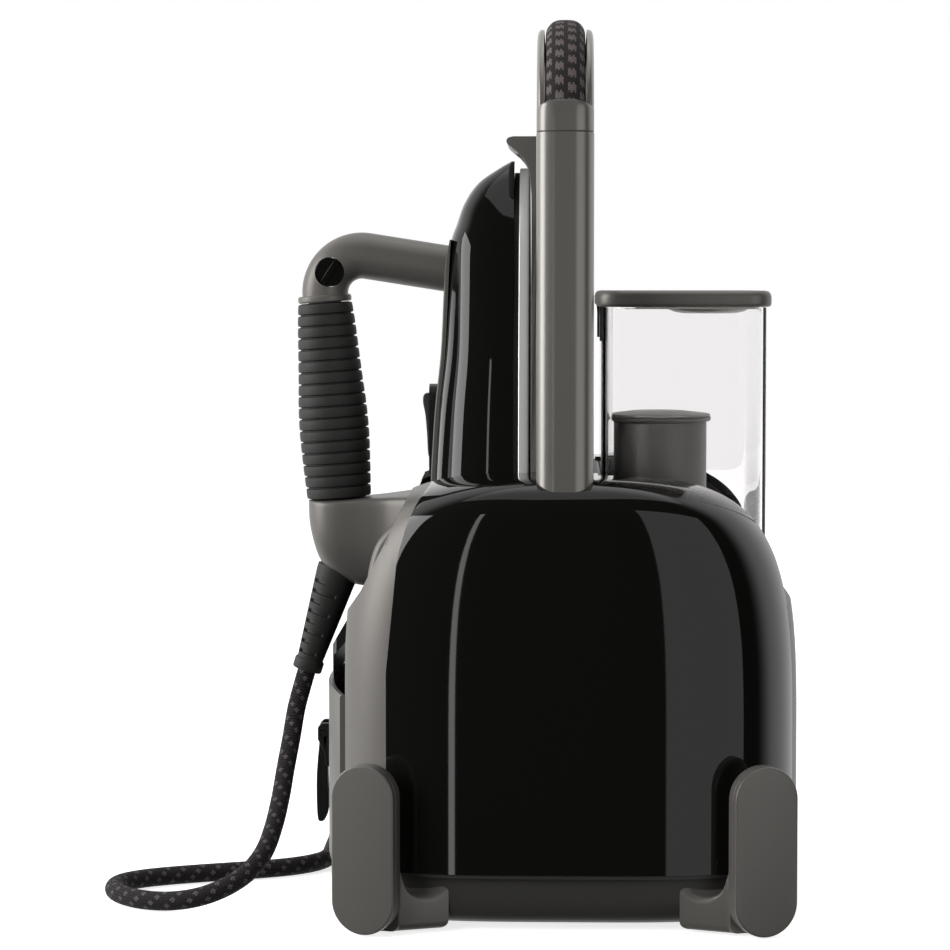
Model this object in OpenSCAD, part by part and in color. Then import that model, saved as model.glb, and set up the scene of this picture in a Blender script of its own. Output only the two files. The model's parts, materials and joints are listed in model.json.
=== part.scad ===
// Compact steam station with a docked iron, a lift-out water tank and a carry arch.
// The front of the station, where the iron docks, looks along -X. The water tank is at +X.

/* [Station body] */
// Length of the station along X
body_l = 222; // [220:1:224]
// Depth of the station along Y
body_d = 250; // [248:1:252]
// Height of the station's shoulder, the top of the gloss shell
body_top = 206; // [205:0.5:207]
// Height of the seam between the base pan and the shells
seam_z = 27; // [25:0.5:28]
// Wall of the moulded covers
wall = 2.5; // [2:0.1:3]
// Distance of the station's own centre from the origin along X
station_x = 10; // [9:0.1:11]

/* [Carry arch] */
// Height of the arch over the floor
arch_top = 417; // [410:1:425]
// Width of the legs along X
leg_w = 26.2; // [25:0.1:27]
// Depth of the legs along Y
leg_d = 23; // [21:0.5:24]
// Distance of a leg's centre from the middle plane
leg_y = 108; // [107:0.5:109]
// Radius of the arch's corners, at its centre line
arch_r = 44; // [40:1:48]

/* [Corner foot posts] */
// Width of a post
post_w = 30.5; // [28:0.5:31]
// Height of a post
post_h = 78; // [70:1:84]
// Turn of each post about its upright axis
post_turn = 20; // [18:1:22]

/* [Iron] */
// Widest half-width of the soleplate
sole_half = 57; // [55:0.5:57]
// Height of the soleplate's tip when docked
sole_tip = 351; // [348:0.5:352]
// Height of the iron's heel when docked
heel_z = 137; // [137:0.5:138]
// Diameter of the handle tube
tube_d = 22.5; // [21:0.5:23]
// Ribs on the grip sleeve
grip_ribs = 17; // [14:1:20]

/* [Water tank] */
// Length of the tank along X
tank_l = 76.5; // [75:0.5:78]
// Depth of the tank along Y
tank_d = 152; // [148:1:152]
// Height of the tank's rim over the floor
tank_rim = 284; // [280:0.5:286]
// Wall of the clear tank
tank_wall = 2.2; // [2:0.1:2.6]

/* [Steam hose] */
// Diameter of the braided hose
hose_d = 9; // [8:0.5:9]

/* [Hidden] */

eps = 0.05;

// Station body
half_l = body_l / 2;
half_d = body_d / 2;
shoulder_z = 65;
plan_power = 4;
side_power = 4;
rim_r = 18;
plan_steps = 48;
crown = [0.1, 0.2, 0.3, 0.4, 0.5, 0.6, 0.7, 0.78, 0.85, 0.91, 0.955, 0.985];
dock_half = 62;
dock_x = -14;
seat_half = 79.3;
seat_x = 15.5;
seat_z = 146;
front_x = -101.5;
pan_inset = 5;
pan_bottom = 3;

// Front cover, a shallow arc in plan
bulge_x = -115;
bulge_r = 366;
front_cover_top = 104;
front_cover_half = 88;
front_frame_half = 77;

// Edge of the front corners in the XZ plane, from the pan up to the rim
corner_edge = [[-81.3, 20], [-81.3, 118], [-78.7, 144], [-76.4, 168], [-75, 174.5], [-72, 184.5],
               [-67.8, 192.6], [-62.3, 197], [-54, 199.5], [-45, 203], [-40, 208]];

// Arch
arch_mid_z = arch_top - 10;
arch_straight_z = arch_mid_z - arch_r;
leg_foot_z = 150;
leg_corner = 9;
collar_turn = 14;
core_w = 18.4;
core_depth = 20;
cheek_t = 3.2;
cheek_gap = 0.7;
cheek_depth = 17.5;

// Hinge pin of the cord clip
clip_pin = [-118.6, 0, 74.5];

// Posts
post_x = 89.6;
post_y = 127;
post_back = -5;
post_front = 1.6;
cover_front = 5;
post_lift = 0.6;
foot_r = 8;
foot_h = 4;
foot_y = -16;

// Iron
sole_front = -17;
sole_back = -22;
insulator_back = -24.5;
sole_wide_z = 175;
casing_tip = sole_tip + 3.5;
back_x = [[137, 62], [150, 63.5], [175, 63.5], [199, 63.3], [217, 62.4], [237, 61], [262, 58.4],
          [291, 57], [316, 55.5], [323, 53], [334, 49], [344, 42], [351, 32], [354, 27]];
grip_top = [-117.5, 287];
grip_foot = [-110.7, 190];
grip_len = norm(grip_top - grip_foot);
grip_tilt = atan2(grip_foot[0] - grip_top[0], grip_top[1] - grip_foot[1]);
tube_r = tube_d / 2;
tube_bend = 18;
tube_end = [-55.5, 301.9];
tube_rise = 8.7;
trigger_pin = [-64.5, 222];
boot_top = [-112, 152.6];
boot_end = [-126.2, 107.4];
boot_len = norm(boot_top - boot_end);
boot_tilt = atan2(boot_top[0] - boot_end[0], boot_top[1] - boot_end[1]);

// Tank
tank_x = 17.5;
tank_z = 150;
tank_corner = 12;
lid_t = 7.6;
hinge_x = tank_x + 1.3;
hinge_z = tank_rim + lid_t / 2;
cartridge_x = 45.7;
cartridge_r = 23.5;
cartridge_top = 230;
valve_x = 78;
seat_lip_x = tank_x + tank_l + 1;
lid_over = 2.3;

// Hose: the run from the iron's boot to the coil, and the lead from the coil to the outlet
hose_r = hose_d / 2;
coil_x = -5;
coil_y = 201;
coil_in = 41.3;
coil_out = 59.7;
coil_h = 2 * hose_d;
outlet_x = -60;
outlet_z = 15;
run_points = [
  [-126.3, 0, 107.1], [-129.2, 0, 97], [-132, -2, 86], [-134, -9, 72], [-136, -17, 59],
  [-138, -28, 46], [-141, -42, 34.5], [-145, -58, 25], [-152, -74, 18], [-162, -87, 13.5],
  [-173, -95, 11], [-184, -98, 10], [-195, -97, 9], [-208, -92, 7], [-219.5, -82, 5.2],
  [-225.5, -67, 4.6], [-225, -52, 4.6], [-215, -35, 4.6], [-204, -26, 4.6], [-188, -12, 4.6],
  [-170, 1, 4.6], [-152, 12, 4.6], [-137, 20, 4.6], [-127, 28, 4.6], [-121, 39, 4.6],
  [-119, 52, 4.6], [-119, 80, 4.6], [-119, 108, 4.6], [-116, 123, 4.6], [-108, 135, 4.6],
  [-96, 143, 4.6], [-81, 146, 4.6], [-60, 146, 4.6], [-39, 146, 4.6]];
lead_points = [[-60, 131.1, 15], [-60, 140, 14.8], [-60, 152, 14.2], [-60, 166, 13.7]];

// Colours
gloss_black = [0.05, 0.05, 0.045];
satin_grey = [0.44, 0.42, 0.4];
dark_grey = [0.2, 0.2, 0.2];
soft_black = [0.09, 0.09, 0.09];

function bend(v, p) = sign(v) * pow(abs(v), 2 / p);
function oval(a, b, n) =
  [for (i = [0 : n - 1]) let (t = 360 * i / n) [a * bend(cos(t), plan_power), b * bend(sin(t), plan_power)]];
function crown_scale(u) = pow(cos(90 * u), 2 / side_power);
function crown_z(u, top) = shoulder_z + (top - shoulder_z) * pow(sin(90 * u), 2 / side_power);
function rim_drop(z, top, r) = z < top - r ? 0 : r - sqrt(max(0, r * r - pow(z - top + r, 2)));
// Levels of the loaf: [height, length scale, depth lost to the rim's fillet]
function levels(bottom, inset) = concat(
  [[bottom, 1, 0], [shoulder_z, 1, 0]],
  [for (u = crown) let (z = crown_z(u, body_top - inset))
    [z, crown_scale(u), rim_drop(z, body_top - inset, rim_r - inset)]]);

// Faces between rings of equal length, closed with a cap at each end
function skin(rings, sides) = concat(
  [[for (i = [sides - 1 : -1 : 0]) i]],
  [for (k = [0 : rings - 2], i = [0 : sides - 1])
    let (a = k * sides + i, b = k * sides + (i + 1) % sides) [a, b, b + sides]],
  [for (k = [0 : rings - 2], i = [0 : sides - 1])
    let (a = k * sides + i, b = k * sides + (i + 1) % sides) [a, b + sides, a + sides]],
  [[for (i = [0 : sides - 1]) (rings - 1) * sides + i]]);

module station() translate([station_x, 0, 0]) children();
// Draws a shape's XY outline in the XZ plane and gives it a depth along Y, centred on the middle plane
module upright(depth) rotate([90, 0, 0]) linear_extrude(depth, center = true) children();
// A box from its two corners
module block(low, high) translate(low) cube(high - low);
// A cylinder along Y, or along X, about a point
module along_y(p, r, l) translate(p) rotate([90, 0, 0]) cylinder(r = r, h = l, center = true, $fn = 48);
module along_x(p, r, l) translate(p) rotate([0, 90, 0]) cylinder(r = r, h = l, center = true, $fn = 48);
module rounded(w, d, r) {
  square([w - 2 * r, d], center = true);
  square([w, d - 2 * r], center = true);
  for (x = [-1, 1], y = [-1, 1]) translate([x * (w / 2 - r), y * (d / 2 - r)]) circle(r, $fn = 48);
}

module loaf(bottom, inset) {
  rings = levels(bottom, inset);
  polyhedron(
    points = [for (l = rings, p = oval((half_l - inset) * l[1], half_d - inset - l[2], plan_steps))
      [p[0], p[1], l[0]]],
    faces = [for (f = skin(len(rings), plan_steps)) [for (i = [len(f) - 1 : -1 : 0]) f[i]]]);
}

module loaf_shell() difference() {
  loaf(seam_z, 0);
  loaf(seam_z - 5, wall);
}

// ---- Base ----
module pan_outline(inset) polygon(oval(half_l - inset, half_d - inset, 64));

module base_pan() color(dark_grey) station() difference() {
  union() {
    translate([0, 0, pan_bottom]) linear_extrude(4) pan_outline(pan_inset + 3);
    translate([0, 0, pan_bottom + 4]) linear_extrude(seam_z - pan_bottom - 6) pan_outline(pan_inset);
    translate([0, 0, seam_z - 2]) linear_extrude(2) pan_outline(1.2);
  }
  translate([0, 0, pan_bottom + 3]) linear_extrude(seam_z) pan_outline(pan_inset + 3 + wall);
  along_y([outlet_x, 112, outlet_z], 8.1, 40);
  block([-130, -95, seam_z - 2.1], [front_x + 0.2, 95, seam_z + 1]);
  for (x = [-1, 1], y = [-1, 1]) translate([x * 66, y * 84, 0]) cylinder(r = 2.1, h = 10, $fn = 32);
}

module base_screws() color("silver") station()
  for (x = [-1, 1], y = [-1, 1]) translate([x * 66, y * 84, 0]) {
    translate([0, 0, pan_bottom - 1.6]) cylinder(r = 3.8, h = 1.6, $fn = 32);
    translate([0, 0, pan_bottom - eps]) cylinder(r = 2, h = 8, $fn = 32);
  }

// ---- Corner posts ----
module at_corner(x, y)
  mirror([x < 0 ? 1 : 0, 0, 0]) mirror([0, y < 0 ? 1 : 0, 0])
    translate([post_x, post_y, 0]) rotate([0, 0, -post_turn]) children();

module post_slab(from, to, inset) {
  r = post_w / 2 - inset;
  translate([0, to, 0]) rotate([90, 0, 0]) linear_extrude(to - from) {
    translate([0, post_lift + inset + r]) circle(r, $fn = 96);
    translate([0, post_h - inset - r]) circle(r, $fn = 96);
    translate([-r, post_lift + inset + r]) square([2 * r, post_h - post_lift - 2 * inset - 2 * r]);
  }
}

module foot_post(x, y) color(satin_grey) station() difference() {
  mirror([x < 0 ? 1 : 0, 0, 0]) mirror([0, y < 0 ? 1 : 0, 0]) difference() {
    translate([post_x, post_y, 0]) rotate([0, 0, -post_turn]) {
      post_slab(post_back, post_front, 0);
      rotate([90, 0, 90]) linear_extrude(22, center = true)
        polygon([[post_back + eps, 1.4], [-30, 1.4], [-30, 16], [-20, 16.6], [-13, 18.5], [-8, 23],
                 [post_back + eps, 34]]);
    }
    translate([0, 0, -1]) linear_extrude(40) pan_outline(pan_inset - 0.1);
    translate([0, 0, seam_z - 3]) linear_extrude(40) pan_outline(-0.6);
  }
  at_corner(x, y) translate([0, foot_y, -1]) cylinder(r = foot_r + 0.1, h = foot_h + 1.1, $fn = 48);
}

module foot_cover(x, y) color([0.5, 0.48, 0.46]) station() at_corner(x, y) {
  post_slab(post_front + eps, cover_front - 1, 0);
  post_slab(cover_front - 1, cover_front, 1);
}

module rubber_feet() color("black") station()
  for (x = [-1, 1], y = [-1, 1]) at_corner(x, y) translate([0, foot_y, 0]) {
    cylinder(r = foot_r - 1, h = 1, $fn = 48);
    translate([0, 0, 1]) cylinder(r = foot_r, h = foot_h - 1, $fn = 48);
  }

// ---- Shells ----
module leg_section(grow) rounded(leg_w + 2 * grow, leg_d + 2 * grow, leg_corner);

module side_walls() difference() {
  loaf_shell();
  block([-200, -dock_half, 0], [seat_x, 200, 300]);
  block([seat_x - eps, -seat_half, 0], [200, 200, 300]);
  block([-200, -200, 0], [front_x, 200, 300]);
  upright(400) polygon([[-71.5, 198.5], [-83, 174.8], [-93.6, 154], [-100.5, 144], [front_x, 127],
                        [-140, 127], [-140, 230], [-71.5, 230]]);
  translate([0, -leg_y, 100]) linear_extrude(200) leg_section(0.15);
}

module corner_zone() upright(400) polygon(concat([[-140, 20]], corner_edge, [[-140, 208]]));

module side_shell() difference() {
  side_walls();
  corner_zone();
}

module shell_near() color(gloss_black) station() side_shell();
module shell_far() color(gloss_black) station() mirror([0, 1, 0]) side_shell();

module front_corners() color(satin_grey) station()
  for (s = [0, 1]) mirror([0, s, 0]) intersection() {
    side_walls();
    corner_zone();
  }

module top_bridge() color(dark_grey) station() {
  block([dock_x + 0.1, -61.9, 201.5], [seat_x - 0.1, 61.9, 205.9]);
  for (y = [-40, 0, 40]) block([-3, y - 1.5, 137], [0, y + 1.5, 201.5 + eps]);
}

module arc_slab(face_x, t) intersection() {
  translate([face_x + bulge_r, 0, 0]) difference() {
    cylinder(r = bulge_r, h = 400, $fn = 200);
    translate([0, 0, -1]) cylinder(r = bulge_r - t, h = 402, $fn = 200);
  }
  children();
}

module front_cover() color(satin_grey) station() difference() {
  arc_slab(bulge_x, wall) block([-130, -front_cover_half, 20], [-90, front_cover_half, front_cover_top]);
  for (z = [62, 74]) along_x([bulge_x, 0, z], 1.6, 20);
}

module front_frame() color(soft_black) station() {
  block([front_x + 0.1, -front_frame_half, seam_z + 0.1], [front_x + 2.4, front_frame_half, 128]);
  for (y = [-60, 60], z = [40, 88]) along_x([-103.8, y, z], 4, 5);
}

module dock_tray() color(soft_black) station() intersection() {
  upright(123.6) polygon([
    [dock_x - 0.3, 133.4], [-97.2, 133.4], [-110.4, 117.6], [-110.4, 105.4], [-112.9, 105.4], [-112.9, 119],
    [-100, 141], [-97.6, 141], [-97.6, 136.6], [dock_x - 0.3, 136.6]]);
  translate([-113 + bulge_r, 0, 0]) cylinder(r = bulge_r, h = 300, $fn = 200);
}

module cradle_liner() color([0.55, 0.53, 0.51]) station() {
  for (y = [-1, 1]) translate([0, y * 60.6, 0]) upright(2.2) polygon([
    [dock_x - 0.2, 137], [dock_x - 0.2, 205.6], [-40, 204], [-57, 201], [-66, 197], [-77, 184.5],
    [-84, 178.5], [-89, 173], [-92, 163], [-94, 151], [-96, 141.6], [-96, 137]]);
  block([dock_x - 2.2, -59.5 - eps, 137], [dock_x - 0.2, 59.5 + eps, 205.6]);
}

module rear_cover() color(soft_black) station() difference() {
  intersection() {
    loaf_shell();
    block([60, -79, seam_z], [130, 79, seat_z - 0.2]);
  }
  along_x([105, 0, 116], 9.3, 40);
  along_x([105, 40, 60], 15.3, 40);
  along_x([105, 0, 36], 7.1, 40);
}

module tank_seat() color(soft_black) station() {
  difference() {
    block([seat_x + 0.1, -79, seat_z], [99.6, 79, seat_z + 3.6]);
    translate([valve_x, 0, 100]) cylinder(r = 6.6, h = 100, $fn = 48);
  }
  for (y = [-1, 1]) translate([0, y * 78, 0]) upright(2) polygon([
    [seat_x + 0.1, seat_z + 3.5], [seat_x + 0.1, 205], [40, 203.5], [57, 200], [70, 194.5], [80, 187.5],
    [88, 178.5], [94, 167], [98, 155], [99.5, seat_z + 3.5]]);
  block([seat_x + 0.1, -77 - eps, seat_z + 3.5], [seat_x + 1.7, 77 + eps, 204]);
  block([seat_lip_x, -77 - eps, seat_z + 3.5], [seat_lip_x + 1.6, 77 + eps, seat_z + 7]);
}

// ---- Carry arch ----
module arch_leg() {
  translate([0, -leg_y, leg_foot_z]) linear_extrude(arch_straight_z - leg_foot_z) leg_section(0);
}
module arch_leg_near() color("dimgray") station() arch_leg();
module arch_leg_far() color("dimgray") station() mirror([0, 1, 0]) arch_leg();

// A quarter of the arch's corner, from one angle to another, of the section given as a child
module arch_corner(from, to)
  translate([0, -leg_y + arch_r, arch_straight_z]) rotate([90, 0, -90]) rotate([0, 0, from])
    rotate_extrude(angle = to - from, $fn = 96) translate([arch_r, 0]) rotate(90) children();

module arch_band(w, depth, r, turned) {
  for (s = [0, 1]) mirror([0, s, 0]) arch_corner(turned, 90) rounded(w, depth, r);
  translate([0, 0, arch_mid_z]) rotate([90, 0, 0])
    linear_extrude(2 * (leg_y - arch_r + 0.5), center = true) rounded(w - 2 * eps, depth - 2 * eps, r - eps);
}

module arch_collars() color(soft_black) station()
  for (s = [0, 1]) mirror([0, s, 0]) arch_corner(0.1, collar_turn - 0.1) rounded(leg_w - 0.6, leg_d - 1, 8);

module arch_core() color([0.3, 0.27, 0.27]) station() arch_band(core_w, core_depth, 7, collar_turn);

module arch_cheeks() color("dimgray") station()
  for (x = [-1, 1]) translate([x * ((core_w + cheek_t) / 2 + cheek_gap), 0, 0])
    arch_band(cheek_t, cheek_depth, 1.4, collar_turn);

guard_side = [[60, 206], [59, 245], [54, 290], [46, 325], [38, 348], [33, 359], [27, 364], [20, 365.5]];
module nose_guard() color(satin_grey) station() difference() {
  intersection() {
    upright(130) polygon([[-13, 206], [-13, 365.5], [-25, 365.5], [-28.3, 362.6], [-24.5, 358.5], [-21, 356],
                          [-17.6, 351], [-16.3, 344], [-16.1, 334], [-16, 206]]);
    translate([-40, 0, 0]) rotate([90, 0, 90]) linear_extrude(60)
      polygon(concat(guard_side, [for (i = [len(guard_side) - 1 : -1 : 0])
        [-guard_side[i][0], guard_side[i][1]]]));
  }
  block([-30, -30, 330], [-16.1, 30, 359]);
}

// ---- Inside the station ----
module boiler() color("silver") station() {
  difference() {
    union() {
      along_y([-48, 0, 78], 42, 140);
      for (y = [-1, 1]) along_y([-48, y * 71, 78], 34, 4);
    }
    along_y([-48, 0, 78], 39, 134);
    along_y([-48, 70, 78], 15, 10);
  }
  for (y = [-45, 45]) difference() {
    block([-78, y - 5, 6.1], [-18, y + 5, 48]);
    along_y([-48, y, 78], 41.9, 20);
  }
  translate([-48, 0, 118]) cylinder(r = 7, h = 8, $fn = 48);
}

module heating_element() color("gray") station() {
  along_y([-48, 76, 78], 20, 5.8);
  for (x = [-49, -38]) along_y([x, 83, 78], 2.5, 9);
}

module pump() color([0.3, 0.3, 0.35]) station() {
  block([24, -70, 6.1], [62, -22, 44]);
  along_y([43, -16, 26], 12, 13);
  along_y([43, -76, 26], 6, 13);
  translate([43, -46, 44 - eps]) cylinder(r = 5, h = 12, $fn = 32);
}

module solenoid_valve() color([0.6, 0.5, 0.25]) station() {
  block([14, 30, 6.1], [40, 56, 30]);
  translate([27, 43, 30 - eps]) cylinder(r = 9, h = 26, $fn = 48);
  block([20, 36, 56 - 2 * eps], [34, 50, 62]);
}

module control_board() color([0.1, 0.35, 0.2]) station() {
  block([80, -60, 6.1], [81.6, 60, 100]);
  for (y = [-44, -18, 10, 36]) block([81.5, y, 40], [90, y + 12, 56]);
}

module steam_pipe() color([0.75, 0.75, 0.72]) station() {
  along_y([outlet_x, 97, outlet_z], 4, 20);
  translate([outlet_x, 87, outlet_z]) sphere(r = 4, $fn = 32);
  translate([outlet_x, 87, outlet_z]) cylinder(r = 4, h = 105, $fn = 32);
  translate([outlet_x, 87, outlet_z + 105]) sphere(r = 4, $fn = 32);
}

// ---- Small parts of the station ----
module clip_bracket() color(soft_black) station() difference() {
  union() {
    for (y = [-1, 1]) translate([0, y * 7, 0]) upright(3) polygon([
      [bulge_x - 0.25, 58], [bulge_x - 0.25, 79.5], [-119, 79.5], [-121, 77.5], [-121, 71.5],
      [-118, 65.5], [-117, 58]]);
    block([-117, -5.6, 58], [bulge_x - 0.25, 5.6, 67.5]);
  }
  along_y(clip_pin, 1.25, 40);
}

module clip_lever() color(soft_black) station() {
  along_y(clip_pin, 1.2, 17);
  difference() {
    upright(10) polygon([
      [-120.6, 69.5], [-120.9, 75.5], [-119.8, 77.5], [-117.4, 77.5], [-116.6, 75], [-117.2, 68.7],
      [-117.9, 68.1], [-118.4, 44], [-117.4, 38], [-118.4, 32], [-120.8, 30], [-122.4, 33],
      [-122.4, 56], [-121, 62]]);
    block([-130, -2, 29], [-110, 2, 46]);
  }
}

module hose_outlet() color(soft_black) station() difference() {
  union() {
    along_y([outlet_x, 117, outlet_z], 8, 20);
    along_y([outlet_x, 129, outlet_z], 6.6, 4.2);
  }
  along_y([outlet_x, 120, outlet_z], hose_r, 60);
}

module mains_gland() color(soft_black) station() difference() {
  union() {
    along_x([107, 0, 36], 7, 9);
    along_x([112.4, 0, 36], 5, 2);
  }
  along_x([108, 0, 36], 3.4, 40);
}

module power_button() color([0.25, 0.25, 0.25]) station() {
  along_x([106.4, 0, 116], 9, 10);
  along_x([99, 0, 116], 4, 6);
}

module rinse_cap() color("dimgray") station() difference() {
  along_x([107, 40, 60], 15, 9);
  for (side = [-1, 1]) intersection() {
    along_x([112, 40, 60], 12, 8);
    block([105, 20, side < 0 ? 40 : 62.5], [115, 60, side < 0 ? 57.5 : 80]);
  }
}

// ---- Iron ----
function sole_w(z) =
  sole_half * pow(1 - pow(1 - min(1, (sole_tip - z) / (sole_tip - sole_wide_z)), 2.2), 0.62);
sole_steps = [0, 1, 4, 9, 16, 26, 40, 58, 80, 104, 130, 176];
function sole_side(inset) = concat(
  [for (d = sole_steps)
    [max(0, sole_w(sole_tip - inset - d) - inset * (d == 0 ? 0 : 1)), sole_tip - inset - d]],
  [[sole_half - inset, 152], [sole_half - inset - 1.6, 143], [sole_half - inset - 5, heel_z + inset]]);
function mirrored(side) = concat(side, [for (i = [len(side) - 1 : -1 : 1]) [-side[i][0], side[i][1]]]);

// A plate of the sole's outline between two X values
module sole_plate(from, to, inset)
  translate([from, 0, 0]) rotate([90, 0, 90]) linear_extrude(to - from) polygon(mirrored(sole_side(inset)));

module soleplate() color("silver") station() {
  sole_plate(sole_back, sole_front - 1, 0);
  sole_plate(sole_front - 1 - eps, sole_front, 1.2);
}

module sole_insulator() color(soft_black) station() sole_plate(insulator_back, sole_back - 0.02, 2.2);

// Rings of the casing: half ovals from the insulator to the back profile
casing_steps = 20;
function casing_w(z) =
  (sole_half - 3) * pow(1 - pow(1 - min(1, (casing_tip - z) / (casing_tip - sole_wide_z)), 2.2), 0.62);
function casing_ring(z, face, back, half) =
  [for (i = [0 : casing_steps]) let (t = -90 + 180 * i / casing_steps)
    [face - (back + face) * pow(abs(cos(t)), 0.62), half * bend(sin(t), 3), z]];

module casing(inset, face) {
  rings = [for (p = back_x) if (p[0] < casing_tip - 4 * inset)
    let (z = p == back_x[0] ? p[0] + inset : p[0]) casing_ring(z, face, p[1] - inset, casing_w(z) - inset)];
  polyhedron(points = [for (r = rings, p = r) p], faces = skin(len(rings), casing_steps + 1));
}

module iron_shell() color(gloss_black) station() difference() {
  casing(0, insulator_back - 0.1);
  casing(wall, insulator_back + 1);
  block([-80, -6, 203], [-50, 6, 248]);
}

module steam_chamber() color([0.7, 0.7, 0.68]) station() difference() {
  block([-40, -28, 150], [insulator_back - 0.1, 28, 286]);
  block([-38, -24, 156], [-30, 24, 280]);
}

module spine_cover() color(satin_grey) station() difference() {
  upright(40) polygon(concat(
    [for (i = [3 : 7]) [-back_x[i][1] - 1.6, back_x[i][0]]],
    [for (i = [7 : -1 : 3]) [-back_x[i][1] + 0.6, back_x[i][0]]]));
  block([-80, -6, 203], [-50, 6, 248]);
}

module handle_tube() color(satin_grey) station() difference() {
  union() {
    bend_c = [-99.2, 308.6 - tube_bend];
    translate([tube_end[0], 0, tube_end[1]]) rotate([0, -90 + tube_rise, 0])
      cylinder(r = tube_r, h = norm([tube_end[0] + 99.2 + 2.7, tube_end[1] - 308.6 + 0.2]), $fn = 64);
    translate([bend_c[0] - 0.1, 0, bend_c[1]]) rotate([90, 0, 0]) rotate([0, 0, 90 - tube_rise])
      rotate_extrude(angle = 90 + tube_rise + grip_tilt, $fn = 96)
        translate([tube_bend, 0]) circle(tube_r, $fn = 64);
    translate([grip_top[0], 0, grip_top[1]]) rotate([0, 180 - grip_tilt, 0]) translate([0, 0, -6])
      cylinder(r = 8, h = grip_len + 18, $fn = 48);
  }
  along_y([-114.5, 0, 300.5], 7.2, 60);
}

module handle_caps() color(gloss_black) station() {
  along_y([-114.5, 0, 300.5], 7, 18);
  translate([-114.5, 0, 300.5]) rotate([0, 33, 0]) block([-1.1, -10, -6.4], [1.1, 10, 6.4]);
}

// Radius of the sleeve at a fraction of its length from the top
function grip_r(f) = 13 + 2.6 * pow(sin(180 * pow(f, 1.5)), 1.6) + 2.2 * f;
module grip_sleeve() color([0.14, 0.14, 0.14]) station()
  translate([grip_top[0], 0, grip_top[1]]) rotate([0, 180 - grip_tilt, 0]) rotate_extrude($fn = 96)
    polygon(concat(
      [[8.05, 0], [11.9, 0], [12.6, 1.2]],
      [for (k = [0 : grip_ribs - 1], side = [0 : 3]) let (
        pitch = (grip_len - 1.6) / grip_ribs,
        s = 1.4 + pitch * (k + [0.06, 0.16, 0.84, 0.94][side]),
        r = grip_r(s / grip_len) - (side == 0 || side == 3 ? 1.1 : 0)) [r, s]],
      [[8.05, grip_len]]));

module boot_place() translate([boot_top[0], 0, boot_top[1]]) rotate([0, 180 + boot_tilt, 0]) children();

module handle_base() color(satin_grey) station() difference() {
  hull() {
    upright(34) polygon([
      [-125.6, 188.8], [-125, 178], [-123, 166], [-119, 158], [-103, 146.5], [-97, 190.6]]);
    upright(76) polygon([[-66.5, 193.6], [-66.5, 147], [-56, 147], [-56, 193.6]]);
  }
  casing(-0.15, insulator_back);
  translate([grip_top[0], 0, grip_top[1]]) rotate([0, 180 - grip_tilt, 0]) {
    cylinder(r = 8.05, h = grip_len + 12.2, $fn = 48);
    cylinder(r = 30, h = grip_len + 0.05, $fn = 48);
  }
  boot_place() translate([0, 0, -3]) cylinder(r = 10.4, h = 40, $fn = 48);
}

module hose_boot() color(soft_black) station() boot_place() difference() {
  union() {
    translate([0, 0, -2.9]) cylinder(r = 10.25, h = 3, $fn = 64);
    cylinder(r1 = 10.25, r2 = 6.4, h = boot_len - 3, $fn = 64);
    translate([0, 0, boot_len - 3 - eps]) cylinder(r = 7.2, h = 3, $fn = 64);
  }
  translate([0, 0, boot_len - 30]) cylinder(r = hose_r, h = 40, $fn = 48);
}

module trigger_bezel() color(soft_black) station() difference() {
  translate([-61.8, 0, 223.5]) rotate([0, -90, 0]) linear_extrude(4.4) difference() {
    rounded(45, 17, 8);
    rounded(39.5, 10.6, 1.5);
  }
  along_y([trigger_pin[0], 0, trigger_pin[1]], 1.55, 14);
}

module steam_trigger() color([0.2, 0.2, 0.2]) station() {
  upright(9.6) polygon([[-66.4, 210], [-67.4, 222], [-68.4, 232], [-69.4, 237], [-69, 241], [-66.4, 241.6],
                        [-64, 238.6], [-62, 232], [-60.8, 222], [-62.4, 211]]);
  along_y([trigger_pin[0], 0, trigger_pin[1]], 1.5, 11.9);
}

// ---- Water tank ----
module tank_plan(inset) translate([tank_x + tank_l / 2, 0])
  rounded(tank_l - 2 * inset, tank_d - 2 * inset, tank_corner - inset);

module tank_shell() color([0.85, 0.88, 0.9, 0.4]) station() difference() {
  translate([0, 0, tank_z]) linear_extrude(tank_rim - tank_z - 0.2) tank_plan(0);
  translate([0, 0, tank_z + tank_wall]) linear_extrude(200) tank_plan(tank_wall);
  translate([valve_x, 0, tank_z - 1]) cylinder(r = 4.1, h = 10, $fn = 48);
}

module tank_valve() color(soft_black) station() translate([valve_x, 0, 0]) {
  translate([0, 0, tank_z - 6]) cylinder(r = 6, h = 5.95, $fn = 48);
  translate([0, 0, tank_z - 1]) cylinder(r = 4, h = 6, $fn = 48);
  translate([0, 0, tank_z + tank_wall + 0.05]) cylinder(r = 7, h = 2, $fn = 48);
}

module filter_cartridge() color([0.33, 0.33, 0.31]) station()
  translate([cartridge_x, 0, tank_z + tank_wall + 0.1]) difference() {
    union() {
      cylinder(r = cartridge_r, h = cartridge_top - tank_z - tank_wall - 2, $fn = 96);
      translate([0, 0, cartridge_top - tank_z - tank_wall - 2.1]) cylinder(r = 25.6, h = 2, $fn = 96);
    }
    translate([0, 0, 3]) cylinder(r = cartridge_r - 2, h = 200, $fn = 96);
    for (a = [0 : 60 : 300]) rotate([0, 0, a]) translate([12, 0, -1]) cylinder(r = 2, h = 6, $fn = 24);
  }

module cartridge_cap() color([0.45, 0.44, 0.42]) station() translate([cartridge_x, 0, cartridge_top + 0.1]) {
  cylinder(r = 25.4, h = 1.2, $fn = 96);
  translate([0, 0, 1.2 - eps]) cylinder(r1 = 24, r2 = 14, h = 2.4, $fn = 96);
}

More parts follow.
